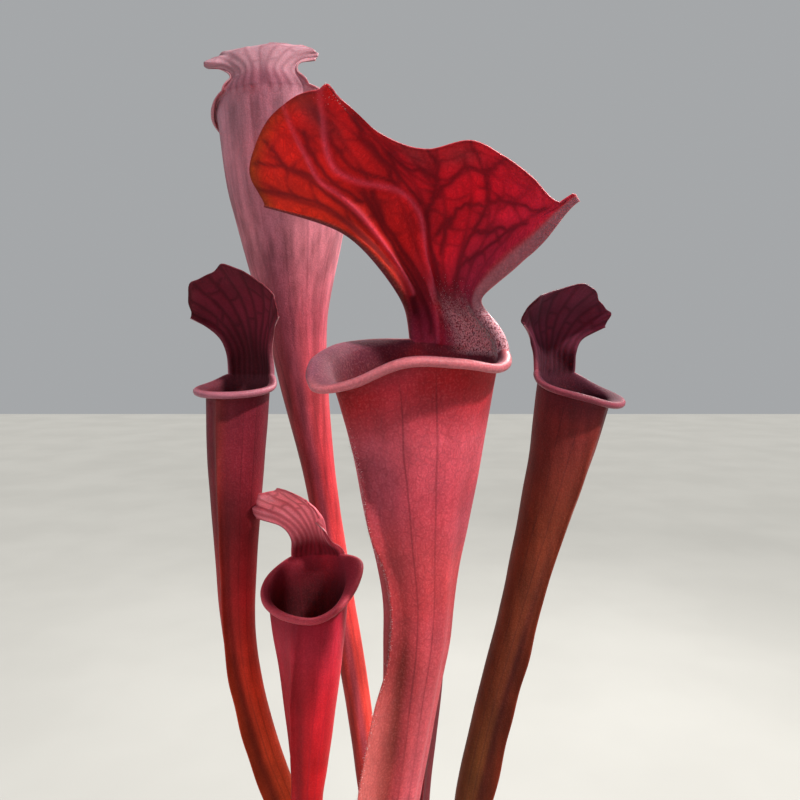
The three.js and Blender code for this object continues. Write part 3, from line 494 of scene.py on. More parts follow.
# The tables are those of the construction drawing. A station is height, centre x and y, half width, half
# depth, wing and turn. A rim or flare row is an angle from the spout and a size. A lid's rows run from the
# pitcher's own left to its right, each point across, forward and up. A tube's colours are listed by height.
# A hood is a lid by its width, height, forward lean, neck, drawn tip and shift aside. A bulge is x, height,
# reach across and up, and push; a ridge is height, width and route. Veins and ridges run over the lid from
# -1 at the pitcher's own right to 1, and from 0 at its foot to 1 at its edge. Keys with left or right in
# them mean the photograph's sides.
PLAIN = {
    "rows": 9, "bead": 1.3, "teeth": 34, "edge": 2.4, "keel": (0, 1), "ribs": (0, 0),
    "detail": {"back": 70, "side": 24, "tube": 80, "lid": 50, "roll": 9},
    "looks": {"net": 0.12, "speckle": 0.2, "glow": 0.15, "long_veins": 0.35, "stripe": 0.14, "sun_tint_and_painted_light": 0.12},
}
MAIN = {
    "name": "pitcher_main",
    "stations": [
        (131, -13, -28, 6.5, 6, 0, 30), (150, -13.3, -28.3, 6, 5.6, 0, 32),
        (200, -17, -36, 5.4, 5.4, 6, 36), (270, -15, -44, 6.2, 6.2, 10, 40),
        (340, -8, -48, 7.8, 7.8, 13.5, 42), (395, -1.4, -50, 9.3, 9.3, 14.2, 42),
        (421, 2.3, -50, 10.2, 10.2, 14, 41), (440, 4.6, -50, 11.2, 11.2, 11, 40),
        (461, 6.7, -50, 13, 12.8, 5, 38), (478, 7.5, -50, 14.1, 14, 3, 38),
        (495, 7.2, -50, 16.7, 16.4, 3, 42), (511, 6.9, -50, 20.1, 20.2, 5, 46),
        (540, 6.9, -50, 25.8, 25.8, 4.6, 50), (563, 6.4, -50, 30.2, 30.4, 2.6, 52),
        (575, 6, -50, 33, 33.6, 1.5, 52),
    ],
    "cavity": 200, "rows": 17, "column": 51,
    "rim": [
        (-129, 8), (-100, 6), (-70, 3), (-42, -2), (-18, -6.5), (0, -10), (18, -7), (46, 0.5), (75, 0),
        (100, -2.5), (115, -1.5), (129, 3),
    ],
    "flare": [
        (-129, 3.6), (-95, 8), (-45, 9), (-15, 9), (0, 10.5), (20, 8), (60, 6.5), (100, 7), (114, 6.5),
        (129, 3.6),
    ],
    "rounded": 0.012, "teeth": 58, "bead": 1.25, "edge": 4, "right_edge": 8.5, "left_roll": 0.6,
    "left_bead": 0.5, "lid_turn": 15, "lid_at": (21, -25, 577),
    "neck": [
        (12, 12, 24), (9.5, 8, 27), (5.5, 5, 30), (0, 4, 31), (-4, 4, 32), (-8, 4.5, 33), (-12, 8, 32),
        (-14.5, 10.5, 30), (-16.5, 13.5, 28.5),
    ],
    "shoulder": [
        (28, 19, 43), (24, 14, 54), (14, 12, 61), (2, 13, 62.5), (-8.5, 17, 66), (-20.5, 24, 72.5),
        (-34, 31, 67), (-39.5, 31, 61), (-36, 28, 51.5),
    ],
    "margin": [
        (53, 30, 55), (36, 27, 69), (15.5, 28, 82.5), (-3.5, 30, 80.5), (-18.5, 38, 84.5), (-34.5, 56, 97),
        (-61, 44, 94), (-76, 34, 78), (-73, 30, 63.5),
    ],
    "keel": (-0.25, 2.2), "ribs": (9, 0.35), "waves": (0, 0),
    "detail": {"back": 146, "side": 40, "tube": 96, "lid": 112, "roll": 14},
    "inside_from": 470, "seed": 3,
    "looks": {"net": 0.3, "speckle": 0.55, "glow": 0.38, "long_veins": 0.45, "stripe": 0.08, "sun_tint_and_painted_light": 0.06},
    "wing_darkens_from": 432, "bulges": [(4, 547, 8, 7, 1.6), (13, 530, 6, 9, -0.8), (-9, 534, 5, 12, -0.7)],
    "paint": {
        "tube": [
            # The lighter pink at 546 is a painted highlight over the bulge. The deep red from 558 up is
            # partly its own colour, partly painted shade under the lid.
            (131, "#8a3d3d"), (380, "#b04048"), (425, "#b23e42"), (478, "#b4383e"), (501, "#b83f47"),
            (523, "#bc404e"), (546, "#c04a58"), (558, "#a82e3a"), (568, "#a8121c"), (575, "#9c1018"),
        ],
        # The lid's reds are partly its own colour, partly a painted glow of light shining through it.
        "lid": ["#c62a14", "#c61c18", "#b41624", "#d0162c", "#b81c3a"], "vein": "#300512",
        "column": "#7c2440", "throat": "#520a14", "lip": "#b26169", "flare": "#561e2e",
        "wing": "#d06c66", "margin": "#8a4410",
        "valley_shade": "#64180c", "ridge": "#cc4a64", "painted_mauve_sheen": "#8a4a62", "pink_and_painted_sunlight": "#cb6470", "roll": "#8e5f6a",
        "fold": "#5e2a3c", "dusk": "#4e2a30",
    },
    "ridges": [
        (1.9, 1.7, [
            (-0.64, 0), (-0.5, 0.16), (-0.2, 0.32), (-0.08, 0.47), (-0.05, 0.56), (-0.12, 0.61),
            (-0.29, 0.63), (-0.42, 0.67), (-0.48, 0.73), (-0.45, 0.79), (-0.34, 0.91), (-0.27, 1),
        ]),
        (1.4, 1.5, [
            (-0.84, 0.3), (-0.72, 0.42), (-0.62, 0.55), (-0.62, 0.66), (-0.64, 0.74), (-0.55, 0.83),
            (-0.43, 1),
        ]),
    ],
    "veins": [
        [
            (-0.96, 0.18), (-0.9, 0.3), (-0.74, 0.42), (-0.69, 0.5), (-0.67, 0.61), (-0.71, 0.68),
            (-0.69, 0.76),
        ],
        [(-0.43, 0.64), (-0.46, 0.56), (-0.51, 0.48), (-0.55, 0.35), (-0.65, 0.2), (-0.75, 0.05)],
        [(-0.92, 0.45), (-0.93, 0.58), (-0.86, 0.71), (-0.86, 0.82), (-0.89, 0.98)],
        [(-0.63, 0.72), (-0.65, 0.8), (-0.68, 0.87), (-0.72, 0.98)],
        [(-0.68, 0.87), (-0.63, 0.93), (-0.62, 0.98)],
        [
            (0.18, 0.08), (0.25, 0.25), (0.45, 0.37), (0.49, 0.51), (0.55, 0.6), (0.57, 0.7), (0.55, 0.84),
            (0.48, 1),
        ],
        [(0.55, 0.84), (0.6, 0.93), (0.65, 1)],
        [(0.57, 0.71), (0.68, 0.76), (0.8, 0.83), (0.91, 0.92)],
        [(0.51, 0.55), (0.68, 0.6), (0.85, 0.69), (0.93, 0.8)],
        [(0, 0.58), (0.11, 0.67), (0.23, 0.81), (0.28, 0.92), (0.26, 1)],
        [(0.23, 0.81), (0.13, 0.85), (0.02, 0.81), (-0.08, 0.83)],
        [(0.11, 0.67), (0.3, 0.79), (0.43, 0.86), (0.55, 0.85)],
        [(0.0, 0.1), (0.09, 0.3), (0.07, 0.4), (0, 0.49), (0, 0.58)],
        [(0.11, 0.52), (0.26, 0.6), (0.38, 0.66), (0.57, 0.69)],
        [(0.28, 0.61), (0.23, 0.55), (0.18, 0.47)],
        [(-0.29, 0.97), (-0.37, 0.88), (-0.4, 0.8), (-0.4, 0.72), (-0.32, 0.67), (-0.2, 0.65)],
        [(-0.18, 0.92), (-0.25, 0.8), (-0.18, 0.73), (-0.1, 0.67), (-0.02, 0.63)],
        [(-0.45, 0.9), (-0.49, 0.86), (-0.54, 0.79), (-0.57, 0.7), (-0.49, 0.62)],
        [(-0.08, 0.84), (-0.14, 0.74), (-0.23, 0.67)],
        [(0.49, 0.42), (0.69, 0.5), (0.82, 0.6), (0.9, 0.74)],
        [(-0.37, 0.66), (-0.42, 0.58), (-0.44, 0.5), (-0.38, 0.36), (-0.3, 0.2)],
    ],
}
TALL = {
    **PLAIN,
    "name": "pitcher_tall",
    "stations": [
        (131, 2, 33, 6.5, 6, 0, 150), (150, 2, 33.5, 6, 6, 0, 155), (240, -8, 56, 6, 6, 5, 165),
        (312, -18, 78, 6.8, 6.8, 6, 170), (380, -28, 86, 7.4, 7.4, 6, 175), (440, -38, 87, 8, 8, 6, 180),
        (500, -47.5, 87, 8.9, 8.9, 5, 183), (555, -56.5, 87, 13.5, 13.5, 4, 186),
        (600, -62, 87, 18.7, 19, 4, 188), (647, -63.5, 87, 29.6, 30, 4, 190),
        (682, -65, 87, 36, 35.5, 3, 190), (711, -66.5, 87, 38, 37.5, 2, 190),
    ],
    "cavity": 260, "rows": 11, "column": 34,
    "rim": [(-146, 8), (-90, 0), (-30, -5), (0, -8), (30, -5), (90, 0), (146, 8)],
    "flare": [(-146, 3), (-100, 4), (0, 10), (100, 4), (146, 3)],
    "lid_turn": 190, "hood": (64, 32, 26, 17, 3, 7), "waves": (4, 3),
    "detail": {"back": 80, "side": 26, "tube": 90, "lid": 40, "roll": 9},
    "inside_from": 600, "seed": 5,
    "looks": {"net": 0.1, "speckle": 0.3, "glow": 0.2, "long_veins": 0.35, "stripe": 0.3, "sun_tint_and_painted_light": 0.3},
    "paint": {
        "tube": [
            (131, "#80261f"), (380, "#bc362e"), (508, "#b03038"), (550, "#a83840"), (600, "#a84a58"),
            (640, "#ba6c78"), (711, "#a87280"),
        ],
        "lid": ["#b48e96"], "vein": "#521828", "column": "#7c4052", "throat": "#4b1824", "lip": "#a8626e",
        "flare": "#7c4452", "wing": "#7a2028", "margin": "#8a4a58", "valley_shade": "#5e1c26",
    },
}
LOW = {
    **PLAIN,
    "name": "pitcher_low",
    "stations": [
        (131, -27, 4, 6, 5.5, 0, 30), (150, -27.3, 4.2, 5.4, 5.2, 0, 32), (240, -40, 14, 5.2, 5.2, 5, 38),
        (300, -46, 19, 5.4, 5.4, 5, 40), (345, -47.5, 20, 6.7, 6.7, 5, 40), (364, -47, 20, 9, 9, 4, 38),
        (391, -46.5, 20, 12.3, 12, 3.4, 32), (420, -46, 20, 16, 16, 3, 22),
        (443, -46.5, 20, 19, 18.6, 2, 14), (458, -47, 20, 20, 19.4, 1, 10),
    ],
    "cavity": 220, "column": 36,
    "rim": [
        (-144, 11), (-90, 3), (-65, -1), (-30, -5), (10, -8), (30, -8), (60, -4), (90, 3), (120, 10),
        (144, 13),
    ],
    "flare": [(-144, 2.2), (-70, 3.5), (0, 4), (60, 4), (90, 6), (120, 7.5), (144, 3)],
    "lid_turn": 15, "hood": (35, 38, 20, 9.5, 3, -13), "waves": (4, 2.2),
    "detail": {"back": 70, "side": 30, "tube": 80, "lid": 50, "roll": 10},
    "inside_from": 370, "seed": 7,
    "looks": {"net": 0.15, "speckle": 0.2, "glow": 0.25, "long_veins": 0.35, "stripe": 0.14, "sun_tint_and_painted_light": 0.22},
    "paint": {
        "tube": [
            (131, "#a01c1e"), (300, "#b01618"), (370, "#ac1018"), (405, "#c01c2a"), (435, "#b42438"),
            (458, "#8a142a"),
        ],
        # The hood's light pink is partly its own colour, partly painted sunlight on a face that the lamps
        # leave in shade.
        "lid": ["#ff93a0"], "vein": "#841828", "column": "#560e1a", "throat": "#3c0810", "lip": "#b5404e",
        "flare": "#842030", "wing": "#a01f26", "margin": "#d87684", "valley_shade": "#520a12",
    },
}
LEFT = {
    **PLAIN,
    "name": "pitcher_left",
    "stations": [
        (131, -26, 34, 6, 5.5, 0, 20), (150, -26.5, 34.3, 5.6, 5.4, 0, 21), (250, -44, 41, 5.6, 5.6, 6, 25),
        (326, -62, 44, 6.2, 6.2, 8, 28), (360, -73.5, 43, 6.8, 6.8, 8, 28), (398, -83, 41, 7.5, 7.5, 6, 26),
        (430, -87.5, 40, 8.5, 8.5, 4, 24), (480, -88, 40, 11.4, 11.4, 3, 22),
        (528, -87, 40, 15, 15, 2.5, 20), (558, -85.5, 40, 16.3, 16.3, 2, 20),
    ],
    "cavity": 250, "column": 44,
    "rim": [(-136, 8), (-90, 2), (0, -2), (90, 2), (136, 8)],
    "flare": [(-136, 2.4), (-90, 4.5), (0, 7), (90, 4.5), (136, 2.4)],
    "lid_turn": 15, "hood": (52, 54, 26, 11.5, 4, -3), "waves": (3, 2.2),
    "inside_from": 440, "seed": 9,
    "paint": {
        "tube": [
            # The bright orange band near 340 is partly its own colour, partly painted sunlight.
            (131, "#a02c1c"), (340, "#e4502a"), (395, "#d0381e"), (448, "#ac1e22"), (501, "#6e1420"),
            (558, "#621424"),
        ],
        "lid": ["#66182a"], "vein": "#2a050c", "column": "#4a101c", "throat": "#24060b", "lip": "#9a5a68",
        "flare": "#5c2430", "wing": "#ad3d1c", "margin": "#6c2630", "valley_shade": "#440d12",
    },
}
RIGHT = {
    **PLAIN,
    "name": "pitcher_right",
    "stations": [
        (131, 24, 30, 6.5, 6, 0, -20), (150, 24.2, 30.4, 6, 6, 0, -22), (250, 31, 46, 6.6, 6.6, 7, -30),
        (319, 40, 58, 8, 8, 9, -35), (354, 47.5, 60, 8.6, 8.6, 9, -35), (379, 53.5, 60, 9.2, 9.2, 8, -35),
        (412, 62.5, 60, 10, 10, 6, -35), (441, 70, 60, 11, 11, 4, -35), (484, 81, 60, 14, 14, 3, -35),
        (520, 90, 60, 17, 17, 3, -35), (556, 97, 60, 19, 19, 2, -35),
    ],
    "cavity": 260, "column": 44,
    "rim": [(-136, 12), (-90, 4), (-30, -3), (0, -6), (30, -5), (90, 1), (136, 10)],
    "flare": [(-136, 2.6), (-90, 5), (0, 8), (90, 5), (136, 2.6)],
    "lid_turn": -25, "hood": (58, 46, 22, 13, 4, 0), "waves": (3, 2.2),
    "inside_from": 440, "seed": 11,
    "looks": {**PLAIN["looks"], "stripe": 0.16},
    "paint": {
        "tube": [
            (131, "#6c281c"), (345, "#6a3818"), (384, "#682e16"), (440, "#70301a"), (485, "#78301c"),
            (541, "#6e2222"), (556, "#5e1c28"),
        ],
        "lid": ["#602036"], "vein": "#2a0a16", "column": "#421624", "throat": "#260812", "lip": "#863e4c",
        "flare": "#4c1c2c", "wing": "#7a301c", "margin": "#6c303e", "valley_shade": "#421412",
    },
}
HIDDEN = {
    **PLAIN,
    "name": "pitcher_hidden",
    "stations": [
        (131, 8, -2, 6, 5.5, 0, -10), (150, 8, -2, 5.4, 5.4, 0, -12), (260, 7, 0, 5.6, 5.6, 5, -15),
        (355, 7, 2, 7, 7, 5, -15), (407, 11, 4, 8.6, 8.6, 4, -15), (440, 13, 4, 9.6, 9.6, 3, -15),
        (480, 14, 4, 12.4, 12.4, 2, -15), (504, 14, 4, 15, 15, 1.4, -15),
    ],
    "cavity": 250, "rows": 7, "column": 44,
    "rim": [(-136, 7), (-90, 2), (0, -3), (90, 2), (136, 7)],
    "flare": [(-136, 2.8), (-90, 3.5), (0, 4.5), (90, 3.5), (136, 2.8)],
    "lid_turn": -10, "hood": (40, 30, 14, 9.5, 3, 0), "waves": (3, 1.4),
    "detail": {"back": 56, "side": 22, "tube": 70, "lid": 36, "roll": 8},
    "inside_from": 400, "seed": 13,
    "looks": {**PLAIN["looks"], "stripe": 0.12, "sun_tint_and_painted_light": 0.1},
    "paint": {
        "tube": [(131, "#5c161c"), (340, "#68141e"), (430, "#5c121e"), (504, "#521222")],
        "lid": ["#561824"], "vein": "#2c0610", "column": "#420e18", "throat": "#24060e", "lip": "#8a4450",
        "flare": "#4e1622", "wing": "#66151c", "margin": "#6c303c", "valley_shade": "#3e0d12",
    },
}


def follow(table, at):
    """A smooth curve through a table's rows, at many places. Its first column is where each row applies."""
    table = np.asarray(table, float)
    at = np.atleast_1d(np.asarray(at, float))
    x = table[:, 0]
    y = table[:, 1:]
    slopes = np.empty_like(y)
    slopes[1:-1] = (y[2:] - y[:-2]) / (x[2:] - x[:-2])[:, None]
    slopes[0] = (y[1] - y[0]) / (x[1] - x[0])
    slopes[-1] = (y[-1] - y[-2]) / (x[-1] - x[-2])
    k = np.clip(np.searchsorted(x, at) - 1, 0, len(x) - 2)
    span = (x[k + 1] - x[k])[:, None]
    u = np.clip((at - x[k])[:, None] / span, 0, 1)
    rise = u * u * (3 - 2 * u)
    leave = slopes[k] * span * u * (1 - u) ** 2
    arrive = slopes[k + 1] * span * u * u * (1 - u)
    return y[k] + (y[k + 1] - y[k]) * rise + leave - arrive


def bell(distance, width):
    """1 in the middle, fading smoothly to 0 over some widths."""
    return np.exp(-((distance / width) ** 2))


def facing(turn):
    turn = np.radians(turn)
    return np.stack([-np.sin(turn), -np.cos(turn), np.zeros_like(turn)], axis=-1)


def left_of(front):
    """The pitcher's own left, which is the photograph's right for one that faces the camera."""
    return np.stack([-front[..., 1], front[..., 0], np.zeros_like(front[..., 0])], axis=-1)


# The wing's section: how far aside each column stands low on the tube, how far at a wide rim, and its share
# of the wing's height.
WING_LOW = np.array([0, 0.3, 0.5, 0.75, 1.15, 1.7, 2.3, 2.9])
WING_HIGH = np.interp(WING_LOW, [0, 0.5, 1.15, 2.9], [0, 2.2, 4.6, 8])
WING_SHARE = np.interp(WING_LOW, [0, 0.3, 0.5, 1.15, 2.9], [1, 0.98, 0.92, 0.5, 0.1])


def ring_angles(pitcher, wide, level):
    """Each ring's angles in degrees, from the column's left edge round its back and on round the front."""
    column = pitcher["column"]
    back = np.linspace(180 - column, 180 + column, pitcher["detail"]["back"] + 1)
    aside = WING_LOW + (WING_HIGH * np.minimum(wide / 27, 1)[:, None] - WING_LOW) * level[:, None]
    near = np.degrees(np.arcsin(np.minimum(aside / wide[:, None], 0.75)))
    side = np.linspace(0, 1, pitcher["detail"]["side"] + 1)[1:-1]
    sides = (180 - column) + (near[:, -1:] - (180 - column)) * side[None, :]
    half = np.concatenate([sides, near[:, ::-1]], axis=1)
    backs = np.repeat(back[None, :], len(wide), axis=0)
    return np.concatenate([backs, 360 - half, 360 + half[:, -2::-1]], axis=1)


def wing_shares(pitcher):
    """How much of the wing's height each column of the ring stands out by."""
    sides = np.zeros(pitcher["detail"]["side"] - 1)
    sides[-3:] = [0.01, 0.03, 0.06]
    half = np.concatenate([sides, WING_SHARE[::-1]])
    return np.concatenate([np.zeros(pitcher["detail"]["back"] + 1), half, half[-2::-1]])


def rings(pitcher, heights):
    """Points of the tube at the given heights, with the direction that the wing faces and its height."""
    heights = np.asarray(heights, float)
    mouth = pitcher["stations"][-1][0]
    x, y, wide, deep, wing, turn = follow(pitcher["stations"], heights).T
    front = facing(turn)
    left = left_of(front)
    level = smoothstep(heights, mouth - 60, mouth)
    lift = smoothstep(heights, mouth - 45, mouth)
    angles = ring_angles(pitcher, wide, level)
    from_spout = (angles + 180) % 360 - 180
    count, size = pitcher["ribs"]
    rib = size * np.cos(count * np.radians(angles)) * smoothstep(np.abs(from_spout), 25, 50)
    rim = np.asarray(pitcher["rim"], float)
    rise = follow(rim, np.clip(from_spout, rim[0, 0], rim[-1, 0]).ravel())[:, 0].reshape(angles.shape)
    beyond = np.maximum(np.abs(from_spout) - 180 + pitcher["column"], 0) / pitcher["column"]
    rise = rise + ((rim[0, 1] + rim[-1, 1]) / 2 - rise) * smoothstep(beyond, 0, 1)
    centre = np.stack([x, y, heights], axis=-1)[:, None, :]
    cosine = ((deep[:, None] + rib) * np.cos(np.radians(angles)))[..., None]
    sine = ((wide[:, None] + rib) * np.sin(np.radians(angles)))[..., None]
    points = centre + front[:, None, :] * cosine + left[:, None, :] * sine
    points[..., 2] += rise * lift[:, None]
    return points, front, wing, from_spout


# A hood's edge sweeps so many degrees to each side of its top. The main lid, which has a margin of its own,
# is drawn up to a narrow peak and curls up at one corner.
HOOD_SWEEP = 104
PEAK_AT = -0.24
PEAK_HEIGHT = 3.2
PEAK_DIP = 1.4
CURL_HEIGHT = 5.5
CURL_DIP = 2.6


def hood_rows(pitcher):
    """The lid's three rows of guide points where the pitcher is described by its hood."""
    if "margin" in pitcher:
        return [np.asarray(pitcher[name], float) for name in ("neck", "shoulder", "margin")]
    width, height, lean, neck, drawn, aside = pitcher["hood"]
    t = np.linspace(1, -1, 9)
    swing = np.radians(t * HOOD_SWEEP)
    tip = drawn * bell(t, 0.2)
    low = np.stack([
        neck * t + aside * 0.15, lean * 0.05 + 5 * t * t, height * 0.34 * (1 - 0.25 * t * t),
    ], axis=1)
    across = (neck * 0.5 + width * 0.2) * np.sin(swing) + aside * 0.5
    mid = np.stack([across, np.full(9, lean * 0.34), height * (0.5 + 0.22 * np.cos(swing))], axis=1)
    top = np.stack([
        0.5 * width * np.sin(swing) + aside,
        lean * (0.72 + 0.28 * np.cos(swing)) + tip,
        height * (0.66 + 0.34 * np.cos(swing)) + tip * 0.6,
    ], axis=1)
    return [low, mid, top]


def lid_sheet(pitcher, foot, under, alongs):
    """The lid's points, row by row above the mouth, from the foot of the column to the margin."""
    front = facing(np.array(float(pitcher["lid_turn"])))
    left = left_of(front)
    t = np.linspace(1, -1, len(foot))
    start = np.asarray(pitcher.get("lid_at", foot[len(foot) // 2]), float)
    marks = []
    for guide in hood_rows(pitcher):
        table = np.column_stack([np.linspace(-1, 1, 9), guide])
        aside, forward, up = follow(table, -t).T
        mark = start + front * forward[:, None] + left * aside[:, None]
        mark[:, 2] = start[2] + up
        marks.append(mark)
    reach = 1.6 * np.linalg.norm(marks[0] - foot, axis=1)
    down = under - foot
    length = np.linalg.norm(down, axis=1)
    below = foot + down * (np.minimum(length, reach) / length)[:, None]
    table = np.array([
        np.concatenate([[place], mark.ravel()])
        for place, mark in zip(np.arange(-1, 4) / 3, [below, foot, *marks])
    ])
    sheet = follow(table, alongs).reshape(len(alongs), len(foot), 3)
    for j, short in enumerate(pitcher.get("rounded", 0) * smoothstep(-t, 0.8, 1.04)):
        if short > 0:
            lower = np.asarray(alongs) * (1 - short * np.asarray(alongs) ** 2)
            sheet[:, j] = np.stack([np.interp(lower, alongs, column) for column in sheet[:, j].T], axis=-1)
    along = np.asarray(alongs)[:, None]
    if "margin" in pitcher:
        peak = PEAK_HEIGHT * bell(t - PEAK_AT, 0.03) - PEAK_DIP * bell(t - PEAK_AT, 0.11)
        sheet[..., 2] += peak[None, :] * smoothstep(along, 0.82, 1)
        curl = CURL_HEIGHT * smoothstep(t, 0.92, 1) - CURL_DIP * bell(t - 0.87, 0.08)
        sheet[..., 2] += curl[None, :] * smoothstep(along, 0.72, 1)
    count, size = pitcher["waves"]
    wave = size * np.sin(math.pi * count * t)[None, :] * smoothstep(along, 0.45, 1) * along
    if "margin" not in pitcher:
        frill = 0.22 * size * np.sin(math.pi * (2.6 * count * t + 0.4))
        wave = wave + frill[None, :] * smoothstep(along, 0.7, 1)
    keel_at, keel = pitcher["keel"]
    ridge = keel * bell(t - keel_at, 0.11)[None, :] * (1 - 0.6 * along)
    sheet += front * (wave + ridge)[..., None]
    sheet[..., 2] += wave * 0.4
    return sheet


def sheet_normals(points, quads):
    a, b, c, d = (points[quads[:, i]] for i in range(4))
    face = np.cross(c - a, d - b)
    normals = np.zeros_like(points)
    for i in range(4):
        np.add.at(normals, quads[:, i], face)
    return normals / np.maximum(np.linalg.norm(normals, axis=1), 1e-9)[:, None]


# The lip's section: each part's direction in degrees, and its shares of the flare and of the rolled bead.
LIP_SECTION = [(44, 0.51, 0), (68, 0.43, 0), (84, 0.32, 0), (120, 0, 1), (180, 0, 1), (240, 0, 1)]


def lip_rows(pitcher, flare, bead, rolled, swing):
    """How far up and how far out each row of the lip lies, for every place along its path."""
    fine = pitcher["detail"]["roll"]
    section = np.array(LIP_SECTION)
    parts = len(section)
    share = (np.arange(fine) + 0.5) / fine
    centres = (np.arange(parts) + 0.5) / parts
    direction = np.interp(share, centres, section[:, 0])
    stretch = np.interp(share, centres, section[:, 1]) * parts / fine
    curl = np.interp(share, centres, section[:, 2]) * parts / fine
    up = np.zeros_like(flare)
    out = np.zeros_like(flare)
    rows = []
    for k in range(fine):
        rolled_length = stretch[k] * (flare - bead) + curl[k] * bead
        length = flare / fine + (rolled_length - flare / fine) * rolled
        turn = np.radians(swing * share[k] + (direction[k] - swing * share[k]) * rolled)
        up = up + length * np.cos(turn)
        out = out + length * np.sin(turn)
        rows.append((up, out))
    return rows


def relaxed(vectors, passes):
    for _ in range(passes):
        ahead = np.concatenate([vectors[1:], vectors[-1:]])
        behind = np.concatenate([vectors[:1], vectors[:-1]])
        vectors = 2 * vectors + ahead + behind
        vectors /= np.linalg.norm(vectors, axis=1)[:, None]
    return vectors


def blunt_end(share):
    return 1 - 0.55 * smoothstep(share, 0.8, 1)


def build_sheet(pitcher):
    """The pitcher's middle surface: its points and quads, and which points are tube, lid and lip."""
    detail = pitcher["detail"]
    mouth = pitcher["stations"][-1][0]
    cavity = pitcher["cavity"]
    heights = cavity + (mouth - cavity) * np.linspace(0, 1, detail["tube"] + 1) ** 0.8
    tube, front, wing, from_spout = rings(pitcher, heights)
    count = tube.shape[1]
    back = detail["back"]
    lower = cavity + (mouth - cavity) * ((pitcher["rows"] - 2) / pitcher["rows"]) ** 0.8
    under = rings(pitcher, [lower])[0][0, :back + 1]
    alongs = np.linspace(0, 1, detail["lid"] + 1)[1:]
    lid = lid_sheet(pitcher, tube[-1, :back + 1], under, alongs)
    points = np.concatenate([tube.reshape(-1, 3), lid.reshape(-1, 3)])
    tube_ids = np.arange(len(heights) * count).reshape(len(heights), count)
    lid_ids = len(heights) * count + np.arange(lid.shape[0] * (back + 1)).reshape(lid.shape[0], back + 1)
    lid_ids = np.concatenate([tube_ids[-1:, :back + 1], lid_ids])
    quads = np.concatenate([grid_quads(tube_ids, closed=True), grid_quads(lid_ids)])

    path = np.concatenate([
        lid_ids[:0:-1, back], tube_ids[-1, back:], tube_ids[-1, :1], lid_ids[1:, 0],
    ])
    arc = count - back + 1
    spout = np.concatenate([from_spout[-1, back:], from_spout[-1, :1]])
    away = np.concatenate([np.arange(detail["lid"], 0, -1), np.zeros(arc), np.arange(1, detail["lid"] + 1)])
    share = away / detail["lid"]
    flares = np.asarray(pitcher["flare"], float)
    end = 180 - pitcher["column"]
    beside = np.full(detail["lid"], end)
    on_arc = np.concatenate([-beside, np.clip(spout, -end, end), beside])
    start = follow(flares, on_arc)[:, 0]
    taper = 1 - smoothstep(share, 0.5, 1)
    narrow = np.where(share > 0, 0.3 + 0.7 * taper, 1)
    flare = (start + (pitcher["edge"] - start) * smoothstep(share, 0, 0.3)) * narrow
    more = pitcher.get("right_edge", pitcher["edge"]) - pitcher["edge"]
    flare = flare + np.where(on_arc > 0, more * smoothstep(share, 0.18, 0.62) * blunt_end(share), 0)
    rolled_arc = 1 - 0.5 * smoothstep(np.abs(on_arc), end - 30, end)
    rolled_arc *= 1 - (1 - pitcher.get("left_roll", 1)) * smoothstep(-on_arc, 14, 44)
    rolled = np.where(share > 0, 0.5 - 0.5 * smoothstep(share, 0, 0.4), rolled_arc)
    swing = np.where(share > 0, (60 + 50 * smoothstep(share, 0, 0.4)) * taper, 60)
    thin_side = 1 - (1 - pitcher.get("left_bead", 1)) * smoothstep(-on_arc, -24, 8)
    bead = np.minimum(pitcher["bead"] * thin_side, flare * 0.42)

    normals = sheet_normals(points, quads)
    outs = normals[path]
    ahead = np.concatenate([points[path][1:], points[path][-1:]])
    behind = np.concatenate([points[path][:1], points[path][:-1]])
    ups = np.cross(outs, ahead - behind)
    ups /= np.linalg.norm(ups, axis=1)[:, None]
    step = np.median(np.linalg.norm(ahead - behind, axis=1)) / 2
    passes = min(int(3 * (9 / step) ** 2), 260)
    outs = relaxed(outs, passes)
    ups = relaxed(ups, passes)
    rows = [path]
    extra = []
    for up, out in lip_rows(pitcher, flare, bead, rolled, swing):
        row = points[path] + ups * up[:, None] + outs * out[:, None]
        rows.append(len(points) + sum(len(e) for e in extra) + np.arange(len(path)))
        extra.append(row)
    points = np.concatenate([points, *extra])
    lip_ids = np.array(rows)
    quads = np.concatenate([quads, grid_quads(lip_ids)])
    return {
        "points": points, "quads": quads, "tube": tube_ids, "lid": lid_ids, "lip": lip_ids, "front": front,
        "wing": wing, "spout": from_spout, "heights": heights, "path_angle": on_arc, "path_share": share,
    }


def mix(low, high, share):
    share = np.asarray(share, float)[..., None]
    return np.asarray(low) * (1 - share) + np.asarray(high) * share


def on_grid(grid, across, along):
    """The point of a lid's grid at a place across, 1 at the pitcher's own left, and a share of height."""
    rows, columns, _ = grid.shape
    column = (1 - across) / 2 * (columns - 1)
    row = along * (rows - 1)
    j = int(min(max(column, 0), columns - 1.001))
    i = int(min(max(row, 0), rows - 1.001))
    u, v = column - j, row - i
    low = grid[i, j] * (1 - u) + grid[i, j + 1] * u
    high = grid[i + 1, j] * (1 - u) + grid[i + 1, j + 1] * u
    return low * (1 - v) + high * v


def along_routes(grid, routes, width, wander=0.0):
    """Sample points and widths along routes that are given by their corners on a lid's grid."""
    places = []
    widths = []
    for route in routes:
        corners = np.column_stack([np.arange(len(route)), route])
        bends = follow(corners, np.linspace(0, len(route) - 1, 26 * len(route)))
        own = Vector((len(places) * 0.37, 0, 0))
        for k, (across, along) in enumerate(bends):
            sway = wander * noise.noise(Vector((k * 0.07, 0, 3)) + own)
            drift = wander * noise.noise(Vector((k * 0.07, 0, 8)) + own)
            places.append(on_grid(grid, across + sway, min(max(along + drift, 0), 1)))
            widths.append(width * (1 - 0.45 * k / len(bends)))
    return places, widths


